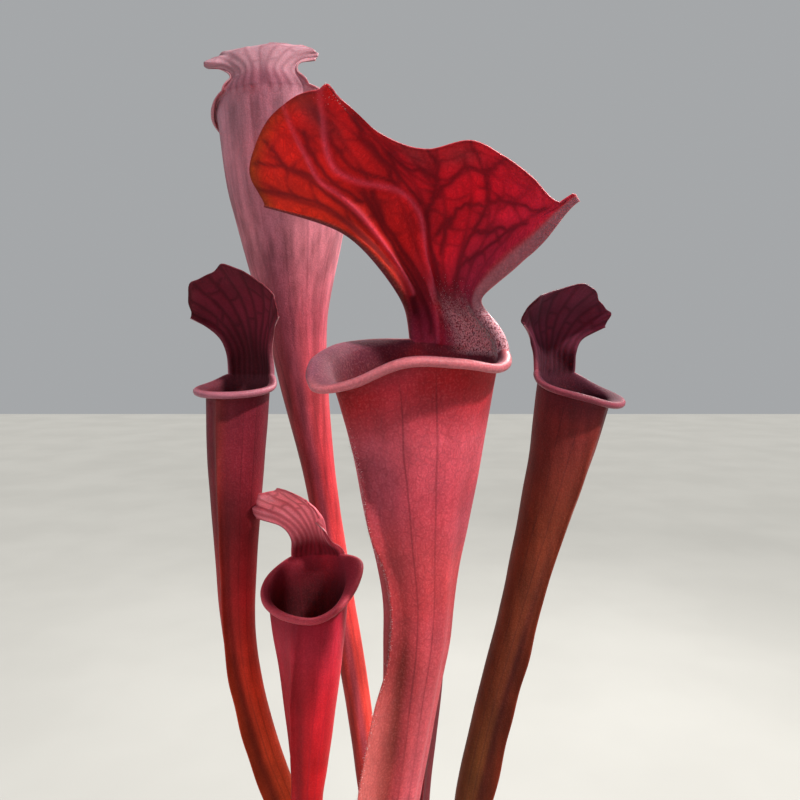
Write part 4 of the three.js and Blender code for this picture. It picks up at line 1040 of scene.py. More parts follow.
# The finer veins start at the lid's foot, fork where the gap between two grows wide, and are linked by short
# cross veins. Gaps are in millimetres, and ages count the steps since a vein's last fork or link.
FIRST_VEINS = 9
VEIN_GAP = 11
FORK_AGE = 14
FORK_CHANCE = 0.2
LINK_GAP = 4.5
LINK_AGE = 16
LINK_CHANCE = 0.09
FINE_VEIN = 1.15
LINK_VEIN = 1.0


def lid_veins(grid, rng):
    """Traces branching veins over a grid of lid points: sample points along them, and their widths."""
    rows = grid.shape[0]
    places = []
    widths = []
    veins = [{"t": t, "aim": t, "age": 0, "linked": 0} for t in np.linspace(-0.9, 0.9, FIRST_VEINS)]
    row = 0.0
    while row < rows - 1.2:
        share = row / (rows - 1)
        veins.sort(key=lambda vein: vein["t"])
        for vein in veins:
            vein["t"] += (vein["aim"] - vein["t"]) * 0.045 + rng.normal(0, 0.0022)
            vein["t"] = min(max(vein["t"], -0.985), 0.985)
            vein["age"] += 1
            vein["linked"] += 1
            places.append(on_grid(grid, vein["t"], share))
            widths.append(FINE_VEIN)
        born = []
        for near, far in zip(veins[:-1], veins[1:]):
            width = float(np.linalg.norm(on_grid(grid, near["t"], share) - on_grid(grid, far["t"], share)))
            wide = width > VEIN_GAP * rng.uniform(0.85, 1.5)
            if wide and min(near["age"], far["age"]) > FORK_AGE and rng.random() < FORK_CHANCE:
                parent = near if rng.random() < 0.5 else far
                middle = (near["t"] + far["t"]) / 2
                born.append({"t": parent["t"], "aim": middle, "age": 0, "linked": 0})
                near["age"] = far["age"] = 0
                continue
            may_link = width > LINK_GAP and near["linked"] > LINK_AGE
            if may_link and rng.random() < LINK_CHANCE * (0.3 + share):
                near["linked"] = 0
                slant = rng.uniform(-1, 1) * width * 0.4
                bend = rng.uniform(-0.2, 0.2) * width
                for part in np.linspace(0, 1, int(width / 0.35) + 2):
                    t = near["t"] + (far["t"] - near["t"]) * part
                    climb = (slant * part + bend * math.sin(math.pi * part)) / (rows - 1)
                    places.append(on_grid(grid, t, min(max(share + climb, 0), 1)))
                    widths.append(LINK_VEIN)
        veins += born
        row += 0.5
    return places, widths


def near_lines(points, places, widths):
    """How near each point is to the nearest sample point, from 1 on it to 0 well outside its width."""
    tree = kdtree.KDTree(len(places))
    for i, place in enumerate(places):
        tree.insert(place, i)
    tree.balance()
    field = []
    for point in points.reshape(-1, 3):
        near = [bell(distance, widths[index]) for _, index, distance in tree.find_n(point, 3)]
        field.append(max(near))
    return np.reshape(field, points.shape[:-1])


def blend(at, places, codes):
    """The colours at some places along a row of colour codes."""
    stops = np.array([linear(code) for code in codes])
    return np.stack([np.interp(at, places, stops[:, c]) for c in range(3)], axis=-1)


# Dusky spots near a lid's upper edge: where across and up, and how wide and high.
DUSKY_SPOTS = ((0.16, 0.95, 0.1, 0.1), (0.42, 0.93, 0.12, 0.07), (-0.36, 0.93, 0.05, 0.12))


def colour_tube(pitcher, sheet, paints):
    """The tube's colours outside and inside."""
    points = sheet["points"]
    mouth = pitcher["stations"][-1][0]
    tube = sheet["tube"]
    heights = sheet["heights"]
    level = (heights - STALK_LEVEL) / (mouth - STALK_LEVEL)
    base = blend(heights, *zip(*pitcher["paint"]["tube"]))
    spout = sheet["spout"]
    colour = np.repeat(base[:, None, :], spout.shape[1], axis=1)
    wing_height = np.clip(sheet["wing"] / 6, 0, 1)[:, None]
    aside = np.abs(spout)
    # Some 15 degrees to each side of the spout, low on the tube, the valley beside the wing is painted dark:
    # painted shade.
    valley_shade = bell(aside - 15, 11) * (1 - smoothstep(level, 0.72, 0.95))[:, None]
    if "painted_mauve_sheen" in paints:
        # Mauve patches on the upper tube are a painted sheen, standing in for the skin's grazing shine.
        patches = ruffle(points[tube], 33, 4)
        painted_mauve_sheen = smoothstep(patches, -0.25, 0.45) * smoothstep(level, 0.55, 0.9)[:, None]
        colour = mix(colour, paints["painted_mauve_sheen"], 0.25 * painted_mauve_sheen)
        # Low on the flank that the key light falls on, the tube is painted pinker: partly its own pink,
        # partly painted sunlight.
        pink_and_painted_sunlight = smoothstep(spout, 30, 75) * (1 - smoothstep(spout, 120, 150))
        colour = mix(colour, paints["pink_and_painted_sunlight"], 0.4 * pink_and_painted_sunlight * (1 - smoothstep(level, 0.6, 0.85))[:, None])
    colour = mix(colour, paints["valley_shade"], valley_shade * 0.85 * wing_height)
    wing_share = np.clip(wing_shares(pitcher)[None, :] * 1.2, 0, 1) * wing_height
    # Above that height the wing's crest turns to the valley's dark colour: partly its own duskier tint,
    # partly painted shade.
    brown = smoothstep(heights, *np.add(pitcher.get("wing_darkens_from", mouth), (0, 30)))[:, None]
    crest = mix(paints["wing"], paints["valley_shade"], brown)
    colour = mix(colour, crest, wing_share * (0.85 - 0.4 * smoothstep(level, 0.5, 0.75))[:, None])
    # Towards +x, where the key light stands, the tube is painted lighter, and on the far side darker: partly
    # the redder tint of a sun-facing side, partly painted light and shade.
    sideways = (points[tube] - points[tube].mean(axis=1, keepdims=True))[..., 0]
    sideways /= np.abs(sideways).max(axis=1, keepdims=True)
    colour = colour * (1 + pitcher["looks"]["sun_tint_and_painted_light"] * sideways)[..., None]
    colour = mix(colour, paints["column"], smoothstep(aside, 150, 178) * 0.5)
    blotch = 0.2 * ruffle(points[tube], 26, 1) + 0.09 * ruffle(points[tube], 7, 2)
    outside = np.clip(colour * (1 + blotch)[..., None], 0, 1)
    below = (mouth - heights)[:, None]
    inside = np.broadcast_to(paints["flare"], colour.shape)
    inside = mix(inside, paints["throat"], smoothstep(below, -4, 18))
    # Inside, the wall is painted up to 55 per cent darker with depth below the mouth: painted shade deep in
    # the tube.
    return outside, inside * (1 - 0.55 * smoothstep(below, 4, 60))[..., None]


TRACED_VEIN = 1.25
TRACED_WANDER = 0.022


def colour_lid(pitcher, sheet, paints, rng):
    """The lid's colour, how strong its veins are, how far its ridges stand up, and where down covers it."""
    points = sheet["points"]
    lid = sheet["lid"][1:]
    rows, columns = lid.shape
    along = np.linspace(0, 1, rows + 1)[1:][:, None] * np.ones((1, columns))
    grid = points[sheet["lid"]]
    across = np.linspace(1, -1, columns)
    codes = pitcher["paint"]["lid"]
    shade = blend(-across, np.linspace(-1, 1, len(codes)), codes[::-1])
    to_top = np.linalg.norm(np.diff(grid, axis=0), axis=-1)
    to_top = np.concatenate([np.cumsum(to_top[::-1], axis=0)[::-1][1:], np.zeros((1, columns))], axis=0)
    reaches = 0.5 + 0.36 * smoothstep(across, 0.15, 0.7)[None, :] if "margin" in pitcher else 0.5
    on_blade = smoothstep((along - 0.12) / (reaches - 0.12), 0, 1)
    colour = mix(paints["column"] * np.ones((rows, columns, 3)), shade[None, :, :], on_blade)
    colour = colour * (1 + 0.3 * ruffle(points[lid], 15, 3))[..., None]
    if "dusk" in paints:
        for middle, reach, size, depth in DUSKY_SPOTS:
            spot = bell(across[None, :] - middle, size) * bell(along - reach, depth)
            colour = mix(colour, paints["dusk"], 0.6 * spot)
    near_edge = bell(to_top, 4.5) * smoothstep(along, 0.4, 0.8)
    right_part = smoothstep(across, -0.8, -0.2)[None, :]
    colour = mix(colour, paints["margin"], near_edge * (0.75 - 0.7 * right_part))
    thin_edge = bell(to_top, 0.9) * smoothstep(along, 0.5, 0.9)
    colour = mix(colour, paints["vein"], thin_edge * 0.55)
    teeth_at = np.linspace(0, 1, columns)[None, :] * pitcher["teeth"]
    teeth = np.clip(np.sin(2 * math.pi * (teeth_at + 0.25 * np.sin(teeth_at * 1.7))), 0, 1) ** 2
    teeth = teeth * bell(to_top - 3, 3.4) * smoothstep(along, 0.4, 0.75)
    field = 0.6 * near_lines(points[lid], *lid_veins(grid, rng))
    field = np.maximum(field, teeth * 0.4)
    ridge = np.zeros(lid.shape)
    patch = np.zeros(lid.shape)
    if "veins" in pitcher:
        places, widths = along_routes(grid, pitcher["veins"], TRACED_VEIN, TRACED_WANDER)
        main_veins = near_lines(points[lid], places, widths)
        halo = near_lines(points[lid], places, [4 * width for width in widths])
        field = 0.46 * main_veins + 0.3 * halo + 0.62 * field * (1 - main_veins)
        for height, width, route in pitcher["ridges"]:
            places, _ = along_routes(grid, [route], width)
            near = near_lines(points[lid], places, [width] * len(places))
            near = near * (1 - 0.7 * smoothstep(along, 0.85, 1))
            ridge = np.maximum(ridge, height * near)
            wide = near_lines(points[lid], places, [0.75 * width] * len(places))
            fading = smoothstep(along, -0.1, 0.35) * (1 - 0.5 * smoothstep(along, 0.8, 1))
            # Along the ridges the lid is painted a lighter pink: partly thicker tissue, partly a painted
            # highlight on the raised folds.
            colour = mix(colour, paints["ridge"], 0.6 * wide * fading)
            field = field * (1 - 0.8 * wide)
        patch = smoothstep(across, -0.55, -0.1)[None, :] * (1 - smoothstep(along, 0.1, 0.34))
        colour = mix(colour, paints["flare"] * 1.3, 0.55 * patch)
        field = field * (1 - 0.8 * patch)
    return colour, field, ridge, patch


def colour_lip(sheet, paints, wall_outer, wall_inner):
    """The lip's colours outside and inside, which start from those of the wall that it grows out of."""
    lip = sheet["lip"][1:]
    roll = np.linspace(0, 1, len(lip))[:, None]
    on_mouth = (1 - smoothstep(sheet["path_share"], 0.0, 0.35))[None, :]
    lip_colour = mix(paints["flare"], paints["lip"], smoothstep(roll, 0.25, 0.62))
    # On the spout's left the lip is painted a dark dusky lilac: partly its own colour, partly painted shade
    # on the inner flare.
    if "fold" in paints:
        beside = smoothstep(-sheet["path_angle"], 2, 22) * (1 - smoothstep(-sheet["path_angle"], 70, 110))
        lip_colour = mix(lip_colour, paints["fold"], 0.85 * beside[None, :])
    away = mix(paints["margin"] * 0.3 + paints["flare"] * 0.7, paints["flare"], smoothstep(roll, 0.2, 1))
    # The outermost edge of the rolled margin gets a pale painted highlight.
    away = mix(away, linear("#b98d93"), smoothstep(roll, 0.86, 1) * 0.6)
    # On the right the rolled margin is painted a light grey-purple: partly its own colour, partly a painted
    # sheen of the sky on the curled-back face.
    if "roll" in paints:
        on_right = (sheet["path_angle"] > 0)[None, :] * smoothstep(roll, 0, 0.3)
        away = mix(away, paints["roll"], 0.85 * on_right)
    colour = mix(away * np.ones((len(lip), lip.shape[1], 1)), lip_colour, on_mouth)
    near_wall = 1 - smoothstep(roll, 0.0, 0.4)
    outside = mix(wall_outer[None, :, :], colour, smoothstep(roll, 0.3, 0.56))
    inside = mix(colour, wall_inner[None, :, :], near_wall * 0.75)
    spout_tip = (bell(sheet["path_angle"], 7) * (sheet["path_share"] == 0))[None, :]
    return mix(outside, linear("#b8481f"), spout_tip * 0.6 * smoothstep(roll, 0.5, 0.9)), inside


def colour_sheet(pitcher, sheet, rng):
    """The colours of both faces, how strong veins are, how far ridges stand up, and where down is."""
    codes = pitcher["paint"]
    paints = {key: linear(value) for key, value in codes.items() if key not in ("tube", "lid")}
    tube, lid, lip = sheet["tube"], sheet["lid"], sheet["lip"]
    count = len(sheet["points"])
    outer = np.zeros((count, 3))
    inner = np.zeros((count, 3))
    vein = np.zeros(count)
    ridge = np.zeros(count)
    downy = np.zeros(count)
    outer[tube], inner[tube] = colour_tube(pitcher, sheet, paints)
    colour, field, ridge[lid[1:]], patch = colour_lid(pitcher, sheet, paints, rng)
    vein[lid[1:]] = field
    vein[lid[0]] = field[0]
    outer[lid[1:]] = np.clip(mix(colour, outer[lid[0]][None, :, :], 0.6), 0, 1)
    inner[lid[1:]] = np.clip(colour, 0, 1)
    outer[lip[1:]], inner[lip[1:]] = colour_lip(sheet, paints, outer[lip[0]], inner[lip[0]])
    if "veins" in pitcher:
        on_right = (sheet["path_angle"] > 0) * (sheet["path_share"] > 0)
        downy[lip[1:]] = (on_right * (1 - smoothstep(sheet["path_share"], 0.12, 0.34)))[None, :]
        downy[lid[1:]] = patch
        downy[lid[0]] = patch[0]
    return outer, inner, vein, ridge, downy


PUCKER = 0.8
VEIN_DEPTH = 0.45
DENT = 0.25


def thicken(pitcher, sheet, vein, ridge):
    """The blade's outer and inner face, with puckers, dents and the wing, and the tube's girth."""
    points = sheet["points"]
    count = len(points)
    normals = sheet_normals(points, sheet["quads"])
    lid = sheet["lid"][1:]
    puckers = np.zeros(count)
    puckers[lid] = PUCKER * ruffle(points[lid], 13, 5) - VEIN_DEPTH * vein[lid] + ridge[lid]
    tube = sheet["tube"]
    dents = np.zeros(count)
    dents[tube] = DENT * ruffle(points[tube] * [1, 1, 0.45], 9, 6)
    middle = points[tube].mean(axis=1, keepdims=True)
    girth = np.linalg.norm(points[tube] - middle, axis=-1)
    dents[tube] += np.clip((girth[:, :1] - 8) / 20, 0, 1) * ruffle(points[tube] * [1, 1, 0.7], 21, 7)
    x, y, z = np.moveaxis(points[tube], -1, 0)
    for bulge_x, bulge_z, across, high, push in pitcher.get("bulges", []):
        dents[tube] += push * bell(x - bulge_x, across) * bell(z - bulge_z, high) * (y < middle[..., 1])
    outer = points + normals * (WALL / 2 + dents - puckers)[:, None]
    inner = points - normals * (WALL / 2 + puckers)[:, None]
    crest = 0.35 * np.sin(sheet["heights"] / 5.3) + 0.3 * np.sin(sheet["heights"] / 13 + 1)
    height = (sheet["wing"] + crest * np.clip(sheet["wing"] / 6, 0, 1))[:, None] * wing_shares(pitcher)
    outer[tube] += sheet["front"][:, None, :] * height[..., None]
    return outer, inner, girth


def build_pitcher(pitcher):
    """Makes a pitcher's mesh with its colours and vein strengths, and returns it with its sheet."""
    rng = np.random.default_rng(pitcher["seed"])
    sheet = build_sheet(pitcher)
    outer_colour, inner_colour, vein, ridge, downy = colour_sheet(pitcher, sheet, rng)
    outer, inner, girth = thicken(pitcher, sheet, vein, ridge)
    quads = sheet["quads"]
    count = len(sheet["points"])
    lid = sheet["lid"][1:]
    tube = sheet["tube"]

    first = int(np.searchsorted(sheet["heights"], pitcher["inside_from"]))
    kept = np.zeros(count, bool)
    kept[tube[first:].ravel()] = True
    kept[sheet["lid"].ravel()] = True
    kept[sheet["lip"].ravel()] = True
    inside = quads[kept[quads].all(axis=1)]
    rows = sheet["lip"]
    ends = rows[1:-1]
    loop = np.concatenate([rows[-1], ends[::-1, -1], sheet["lid"][-1], ends[:, 0]])
    ahead = np.roll(loop, -1)
    rim = np.stack([loop, ahead, ahead + count, loop + count], axis=-1)

    foot_heights = np.linspace(STALK_LEVEL, pitcher["cavity"], 24)[:-1][::-1]
    foot, front, wing, _ = rings(pitcher, foot_heights)
    around = tube.shape[1]
    centre = foot.mean(axis=1, keepdims=True)
    outwards = foot - centre
    foot = foot + outwards / np.linalg.norm(outwards, axis=-1, keepdims=True) * WALL / 2
    foot = foot + front[:, None, :] * (wing[:, None] * wing_shares(pitcher))[..., None]
    foot_ids = 2 * count + np.arange(foot.shape[0] * around).reshape(foot.shape[0], around)
    stalk = grid_quads(np.concatenate([foot_ids[::-1], tube[:1]]), closed=True)
    pit = count + tube[first]
    pit_middle = 2 * count + foot.shape[0] * around
    vertices = np.concatenate([
        outer, inner, foot.reshape(-1, 3), inner[tube[first]].mean(axis=0)[None, :],
    ])
    faces = [*quads, *(inside[:, ::-1] + count), *rim, *stalk]
    faces += [(pit[j], pit[(j + 1) % around], pit_middle) for j in range(around)]
    faces.append(tuple(foot_ids[-1][::-1]))

    low = linear(pitcher["paint"]["tube"][0][1])
    foot_share = np.linspace(1, 0, foot.shape[0])[:, None] * np.ones((1, around))
    foot_colour = mix(low * 0.75, outer_colour[tube[0]][None, :, :], smoothstep(foot_share, 0, 1))
    pale = linear("#b9a487")
    foot_colour = mix(pale, foot_colour, smoothstep(foot[..., 2], 128, 175) * 0.75 + 0.25)
    # The cap that closes the inner wall deep in the tube darkens to near black at its centre: painted shade.
    colours = np.concatenate([
        outer_colour, inner_colour, foot_colour.reshape(-1, 3), linear("#140406")[None, :],
    ])
    smooth_lip = np.zeros(count)
    on_roll = smoothstep(np.linspace(0, 1, len(sheet["lip"])), 0.4, 0.7)[:, None]
    smooth_lip[sheet["lip"]] = (1 - smoothstep(sheet["path_share"], 0, 0.3))[None, :] * on_roll
    thin = np.zeros(count)
    thin[sheet["lid"]] = smoothstep(np.linspace(0, 1, len(sheet["lid"])), 0.1, 0.45)[:, None]

    column = np.abs(sheet["spout"])
    turn = np.zeros(count)
    radius = np.full(count, 10.0)
    streaked = np.zeros(count)
    turn[tube] = column
    radius[tube] = girth
    streaked[tube] = smoothstep(sheet["heights"][-1] - sheet["heights"], 0, 9)[:, None]
    turn[lid] = column[-1:, :lid.shape[1]]
    radius[lid] = girth[-1:, :lid.shape[1]]
    outer_down = np.zeros(count)
    outer_down[sheet["lip"][1:]] = downy[sheet["lip"][1:]]

    used = np.zeros(len(vertices), bool)
    for face in faces:
        used[list(face)] = True
    renumber = np.cumsum(used) - 1
    faces = [tuple(renumber[list(face)]) for face in faces]
    obj = make_mesh(pitcher["name"] + "_leaf", vertices[used], faces)
    paint(obj, "leaf_colour", colours[used])
    nothing = np.zeros(foot.shape[:2])
    for name, outside, inside, on_foot, in_pit in (
        ("vein", vein * 0.6, vein, nothing, 0),
        ("gloss", smooth_lip, smooth_lip - 1.4 * (smooth_lip < 0.3), nothing, 0),
        ("glow", thin, thin, nothing, 0),
        ("turn", turn, turn, nothing + column[0], 0),
        ("girth", radius, radius, np.linalg.norm(outwards, axis=-1), 10),
        ("streaked", streaked, 0.5 * streaked, nothing + 1, 0), ("downy", outer_down, downy, nothing, 0),
    ):
        paint(obj, name, np.concatenate([outside, inside, on_foot.ravel(), [in_pit]])[used])
    return obj, sheet, outer


def leaf_material(pitcher):
    """Leaf tissue of one pitcher, from its paints and its looks."""
    looks = pitcher["looks"]
    tree_name = "leaf_tissue_" + pitcher["name"].split("_")[1]
    material, tree, shader, place = new_material(
        tree_name, IOR=1.42, Specular_IOR_Level=0.2, Sheen_Weight=0.03, Sheen_Roughness=0.4,
        Sheen_Tint=rgba("#ffe6eb"), Subsurface_Weight=looks["glow"], Subsurface_Radius=(1.0, 0.16, 0.12),
        Subsurface_Scale=0.0035,
    )
    read = {}
    for name in ("vein", "glow", "gloss", "turn", "girth", "streaked", "downy"):
        read[name] = add(tree, "ShaderNodeAttribute", attribute_name=name).outputs["Fac"]
    colour = add(tree, "ShaderNodeAttribute", attribute_name="leaf_colour").outputs["Color"]

    # Down: pale specks 0.8 mm across, coarser than the real hairs so that they show, and fewer on the lid.
    skin = add(tree, "ShaderNodeTexNoise", {
        "Vector": place, "Scale": per_metre(0.8), "Detail": 3, "Roughness": 0.6,
    })
    specks = add(tree, "ShaderNodeMapRange", {
        "Value": skin, "From Min": 0.5, "From Max": 0.66, "To Max": looks["speckle"],
    }, **SMOOTH)
    off_lid = add(tree, "ShaderNodeMapRange", {"Value": read["glow"], "To Min": 1, "To Max": 0.25})
    specks = add(tree, "ShaderNodeMath", {0: specks, 1: off_lid}, operation="MULTIPLY")
    pale = add(tree, "ShaderNodeMix", {0: 0.075, 6: colour, 7: rgba("#f9aaa6")}, data_type="RGBA")
    colour = add(tree, "ShaderNodeMix", {0: specks, 6: colour, 7: pale}, data_type="RGBA")

    # Mottling: patches 17 mm across, and the skin's own grain, make the colour a little lighter and darker.
    broad = add(tree, "ShaderNodeTexNoise", {"Vector": place, "Scale": per_metre(17), "Detail": 4})
    patches = add(tree, "ShaderNodeMapRange", {
        "Value": broad, "From Min": 0.3, "From Max": 0.7, "To Min": 0.88, "To Max": 1.1,
    }, **SMOOTH)
    grain = add(tree, "ShaderNodeMapRange", {
        "Value": skin, "From Min": 0.35, "From Max": 0.65, "To Min": 0.9, "To Max": 1.08,
    }, **SMOOTH)
    shade = add(tree, "ShaderNodeMath", {0: patches, 1: grain}, operation="MULTIPLY")

    # Stripes: soft runs of colour 6 mm wide that follow the tube up.
    run_scale = (per_metre(6), per_metre(6), per_metre(110))
    run_place = add(tree, "ShaderNodeMapping", {"Vector": place, "Scale": run_scale})
    runs = add(tree, "ShaderNodeTexNoise", {"Vector": run_place, "Scale": 1, "Detail": 3})
    stripe = looks["stripe"]
    runs = add(tree, "ShaderNodeMapRange", {
        "Value": runs, "From Min": 0.3, "From Max": 0.7, "To Min": 1 - stripe, "To Max": 1 + stripe,
    }, **SMOOTH)
    runs = add(tree, "ShaderNodeMix", {0: read["streaked"], 2: 1.0, 3: runs}, data_type="FLOAT")
    shade = add(tree, "ShaderNodeMath", {0: shade, 1: runs}, operation="MULTIPLY")
    colour = add(tree, "ShaderNodeVectorMath", {0: colour, "Scale": shade}, operation="SCALE")

    # Down at the foot of the column: a lilac felt of hairs, its specks 0.7 mm apart on a dark ground.
    felt = add(tree, "ShaderNodeTexVoronoi", {"Vector": place, "Scale": per_metre(0.7)})
    felt = add(tree, "ShaderNodeMapRange", {"Value": felt, "From Min": 0.36, "From Max": 0.8}, **SMOOTH)
    felt = add(tree, "ShaderNodeMix", {0: felt, 6: rgba("#cda2ab"), 7: rgba("#6a3240")}, data_type="RGBA")
    on_felt = add(tree, "ShaderNodeMath", {0: read["downy"], 1: 0.85}, operation="MULTIPLY")
    colour = add(tree, "ShaderNodeMix", {0: on_felt, 6: colour, 7: felt}, data_type="RGBA")

    # Net: closed meshes of fine veins 3 mm wide everywhere, and 8 mm wide on the lid, bent a little.
    warp = add(tree, "ShaderNodeTexNoise", {"Vector": place, "Scale": per_metre(8.3), "Detail": 2})
    bend = add(tree, "ShaderNodeVectorMath", {
        0: warp.outputs["Color"], 1: (0.006, 0.006, 0.006),
    }, operation="MULTIPLY")
    bent = add(tree, "ShaderNodeVectorMath", {0: place, 1: bend}, operation="ADD")
    bent = add(tree, "ShaderNodeMapping", {"Vector": bent, "Scale": (1, 1, 0.62)})
    nets = []
    for size, line in ((3, 0.13), (8, 0.17)):
        cells = add(tree, "ShaderNodeTexVoronoi", {
            "Vector": bent, "Scale": per_metre(size),
        }, feature="DISTANCE_TO_EDGE")
        nets.append(add(tree, "ShaderNodeMapRange", {
            "Value": cells, "From Max": line, "To Min": 1, "To Max": 0,
        }, **SMOOTH))
    large = add(tree, "ShaderNodeMath", {0: nets[1], 1: read["glow"]}, operation="MULTIPLY")
    fine_net = add(tree, "ShaderNodeMath", {0: nets[0], 1: large}, operation="MAXIMUM")
    net_share = add(tree, "ShaderNodeMapRange", {
        "Value": read["glow"], "To Min": looks["net"] * 0.5, "To Max": looks["net"],
    }, **SMOOTH)
    veins = add(tree, "ShaderNodeMath", {0: fine_net, 1: net_share}, operation="MULTIPLY")

    # Long veins: thin lines that run up the tube. "turn" is the angle round it in degrees and "girth" its
    # radius in millimetres, so their product is the way round to the middle of the nearest line.
    for gap, width, wander, strength in ((27, 0.42, 42, 1), (9.3, 0.3, 12.5, 0.3)):
        along = add(tree, "ShaderNodeMapping", {"Vector": place, "Scale": (1, 1, 0.28)})
        sway = add(tree, "ShaderNodeTexNoise", {"Vector": along, "Scale": per_metre(wander), "Detail": 2})
        moved = add(tree, "ShaderNodeMath", {0: sway, 1: 34, 2: read["turn"]}, operation="MULTIPLY_ADD")
        degrees = add(tree, "ShaderNodeMath", {0: moved, 1: gap / 2}, operation="PINGPONG")
        radians = add(tree, "ShaderNodeMath", {0: degrees}, operation="RADIANS")
        aside = add(tree, "ShaderNodeMath", {0: radians, 1: read["girth"]}, operation="MULTIPLY")
        line = add(tree, "ShaderNodeMapRange", {
            "Value": aside, "From Min": width * 0.2, "From Max": width * 1.9, "To Min": strength,
            "To Max": 0,
        }, **SMOOTH)
        number = add(tree, "ShaderNodeMath", {0: moved, 1: gap}, operation="DIVIDE")
        number = add(tree, "ShaderNodeMath", {0: number}, operation="ROUND")
        chance = add(tree, "ShaderNodeTexWhiteNoise", {"W": number}, noise_dimensions="1D")
        chance = add(tree, "ShaderNodeMapRange", {
            "Value": chance, "From Min": 0.1, "From Max": 0.9, "To Min": 0.25, "To Max": 0.9,
        }, **SMOOTH)
        fade = add(tree, "ShaderNodeMapping", {"Vector": place, "Scale": (1, 1, 0.53)})
        fade = add(tree, "ShaderNodeTexNoise", {"Vector": fade, "Scale": per_metre(20)})
        fade = add(tree, "ShaderNodeMapRange", {
            "Value": fade, "From Min": 0.35, "From Max": 0.6, "To Min": 0.2, "To Max": looks["long_veins"],
        }, **SMOOTH)
        for factor in (chance, fade, read["streaked"]):
            line = add(tree, "ShaderNodeMath", {0: line, 1: factor}, operation="MULTIPLY")
        veins = add(tree, "ShaderNodeMath", {0: veins, 1: line}, operation="MAXIMUM")
    veins = add(tree, "ShaderNodeMath", {0: veins, 1: read["vein"]}, operation="MAXIMUM")
    off_lip = add(tree, "ShaderNodeMapRange", {"Value": read["gloss"], "To Min": 1, "To Max": 0.15})
    veins = add(tree, "ShaderNodeMath", {0: veins, 1: off_lip}, operation="MULTIPLY")
    dark = rgba(pitcher["paint"]["vein"])
    colour = add(tree, "ShaderNodeMix", {0: veins, 6: colour, 7: dark}, data_type="RGBA")

    # Sheen of the skin: matt, with a tighter shine on the rolled lip, and a fine relief of skin and net.
    fine = add(tree, "ShaderNodeTexNoise", {
        "Vector": place, "Scale": per_metre(0.4), "Detail": 3, "Roughness": 0.7,
    })
    matt = add(tree, "ShaderNodeMapRange", {
        "Value": fine, "From Min": 0.3, "From Max": 0.7, "To Min": 0.5, "To Max": 0.66,
    }, **SMOOTH)
    rough = add(tree, "ShaderNodeMath", {0: read["gloss"], 1: -0.16, 2: matt}, operation="MULTIPLY_ADD")
    relief = add(tree, "ShaderNodeMath", {0: fine_net, 1: -0.25, 2: skin}, operation="MULTIPLY_ADD")
    bump = add(tree, "ShaderNodeBump", {"Height": relief, "Strength": 0.38, "Distance": 0.0004})
    link(tree, shader, Base_Color=colour, Roughness=rough, Normal=bump)
    return material


sheets = {}
for pitcher in (MAIN, TALL, LOW, LEFT, RIGHT, HIDDEN):
    leaf, sheet, outer = build_pitcher(pitcher)
    leaf.data.materials.append(leaf_material(pitcher))
    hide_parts(pitcher["name"])
    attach(leaf, "root")
    sheets[pitcher["name"]] = (sheet, outer)


# Hairs: the down that stands out enough to catch the light, on the main pitcher's column, along its wing
# and at its lid's tip. Each is a stiff pale cone 0.14 mm thick that grows out of the skin.
HAIR_RADIUS = 0.07
COLUMN_HAIRS = 3000
WING_HAIRS = 1500
TIP_HAIRS = 120
SHORTEST_HAIR = 0.4
LONGEST_HAIR = 1.1
HAIR_SEED = 21
rng = np.random.default_rng(HAIR_SEED)
main_sheet, main_outer = sheets["pitcher_main"]
main_points = main_sheet["points"]
lid_ids = main_sheet["lid"]
main_normals = sheet_normals(main_points, main_sheet["quads"])
hairs = []
for _ in range(COLUMN_HAIRS):
    along = abs(rng.normal(0, 0.15))
    across = rng.uniform(-0.5, 1)
    if along > 0.4 or rng.random() > 0.25 + 0.75 * smoothstep(across, -0.5, 0.2):
        continue
    spot = lid_ids[int(along * (lid_ids.shape[0] - 1)), int((1 - across) / 2 * (lid_ids.shape[1] - 1))]
    root = main_points[spot] - main_normals[spot] * 0.55 + rng.normal(0, 0.5, 3)
    hairs.append((root, -main_normals[spot] + [0, 0, -0.9] + rng.normal(0, 0.3, 3), 0.75))
crest = int(np.argmax(wing_shares(MAIN)))
for _ in range(WING_HAIRS):
    i = int(rng.uniform(0.05, 0.93) * len(main_sheet["heights"]))
    spot = main_sheet["tube"][i, crest + int(rng.integers(-2, 3))]
    root = main_outer[spot] + rng.normal(0, 0.35, 3) * [0.3, 0.3, 4]
    hairs.append((root, main_sheet["front"][i] + rng.normal(0, 0.35, 3), 0.8))
tip_column = int(5 / 8 * (lid_ids.shape[1] - 1))
for _ in range(TIP_HAIRS):
    column = int(np.clip(tip_column + rng.normal(0, 2.5), 0, lid_ids.shape[1] - 1))
    spot = lid_ids[int(rng.integers(-6, 0)), column]
    root = main_points[spot] - main_normals[spot] * 0.4 + rng.normal(0, 0.4, 3)
    hairs.append((root, -main_normals[spot] + rng.normal(0, 0.5, 3), 0.7))
mesh = bpy.data.meshes.new("hair_roots")
mesh.from_pydata([tuple(root / 1000) for root, _, _ in hairs], [], [])
down = placed("pitcher_main_hairs", mesh)
ways = np.array([way for _, way, _ in hairs])
mesh.attributes.new("way", "FLOAT_VECTOR", "POINT").data.foreach_set("vector", ways.ravel())
mesh.attributes.new("size", "FLOAT", "POINT").data.foreach_set("value", [size for _, _, size in hairs])

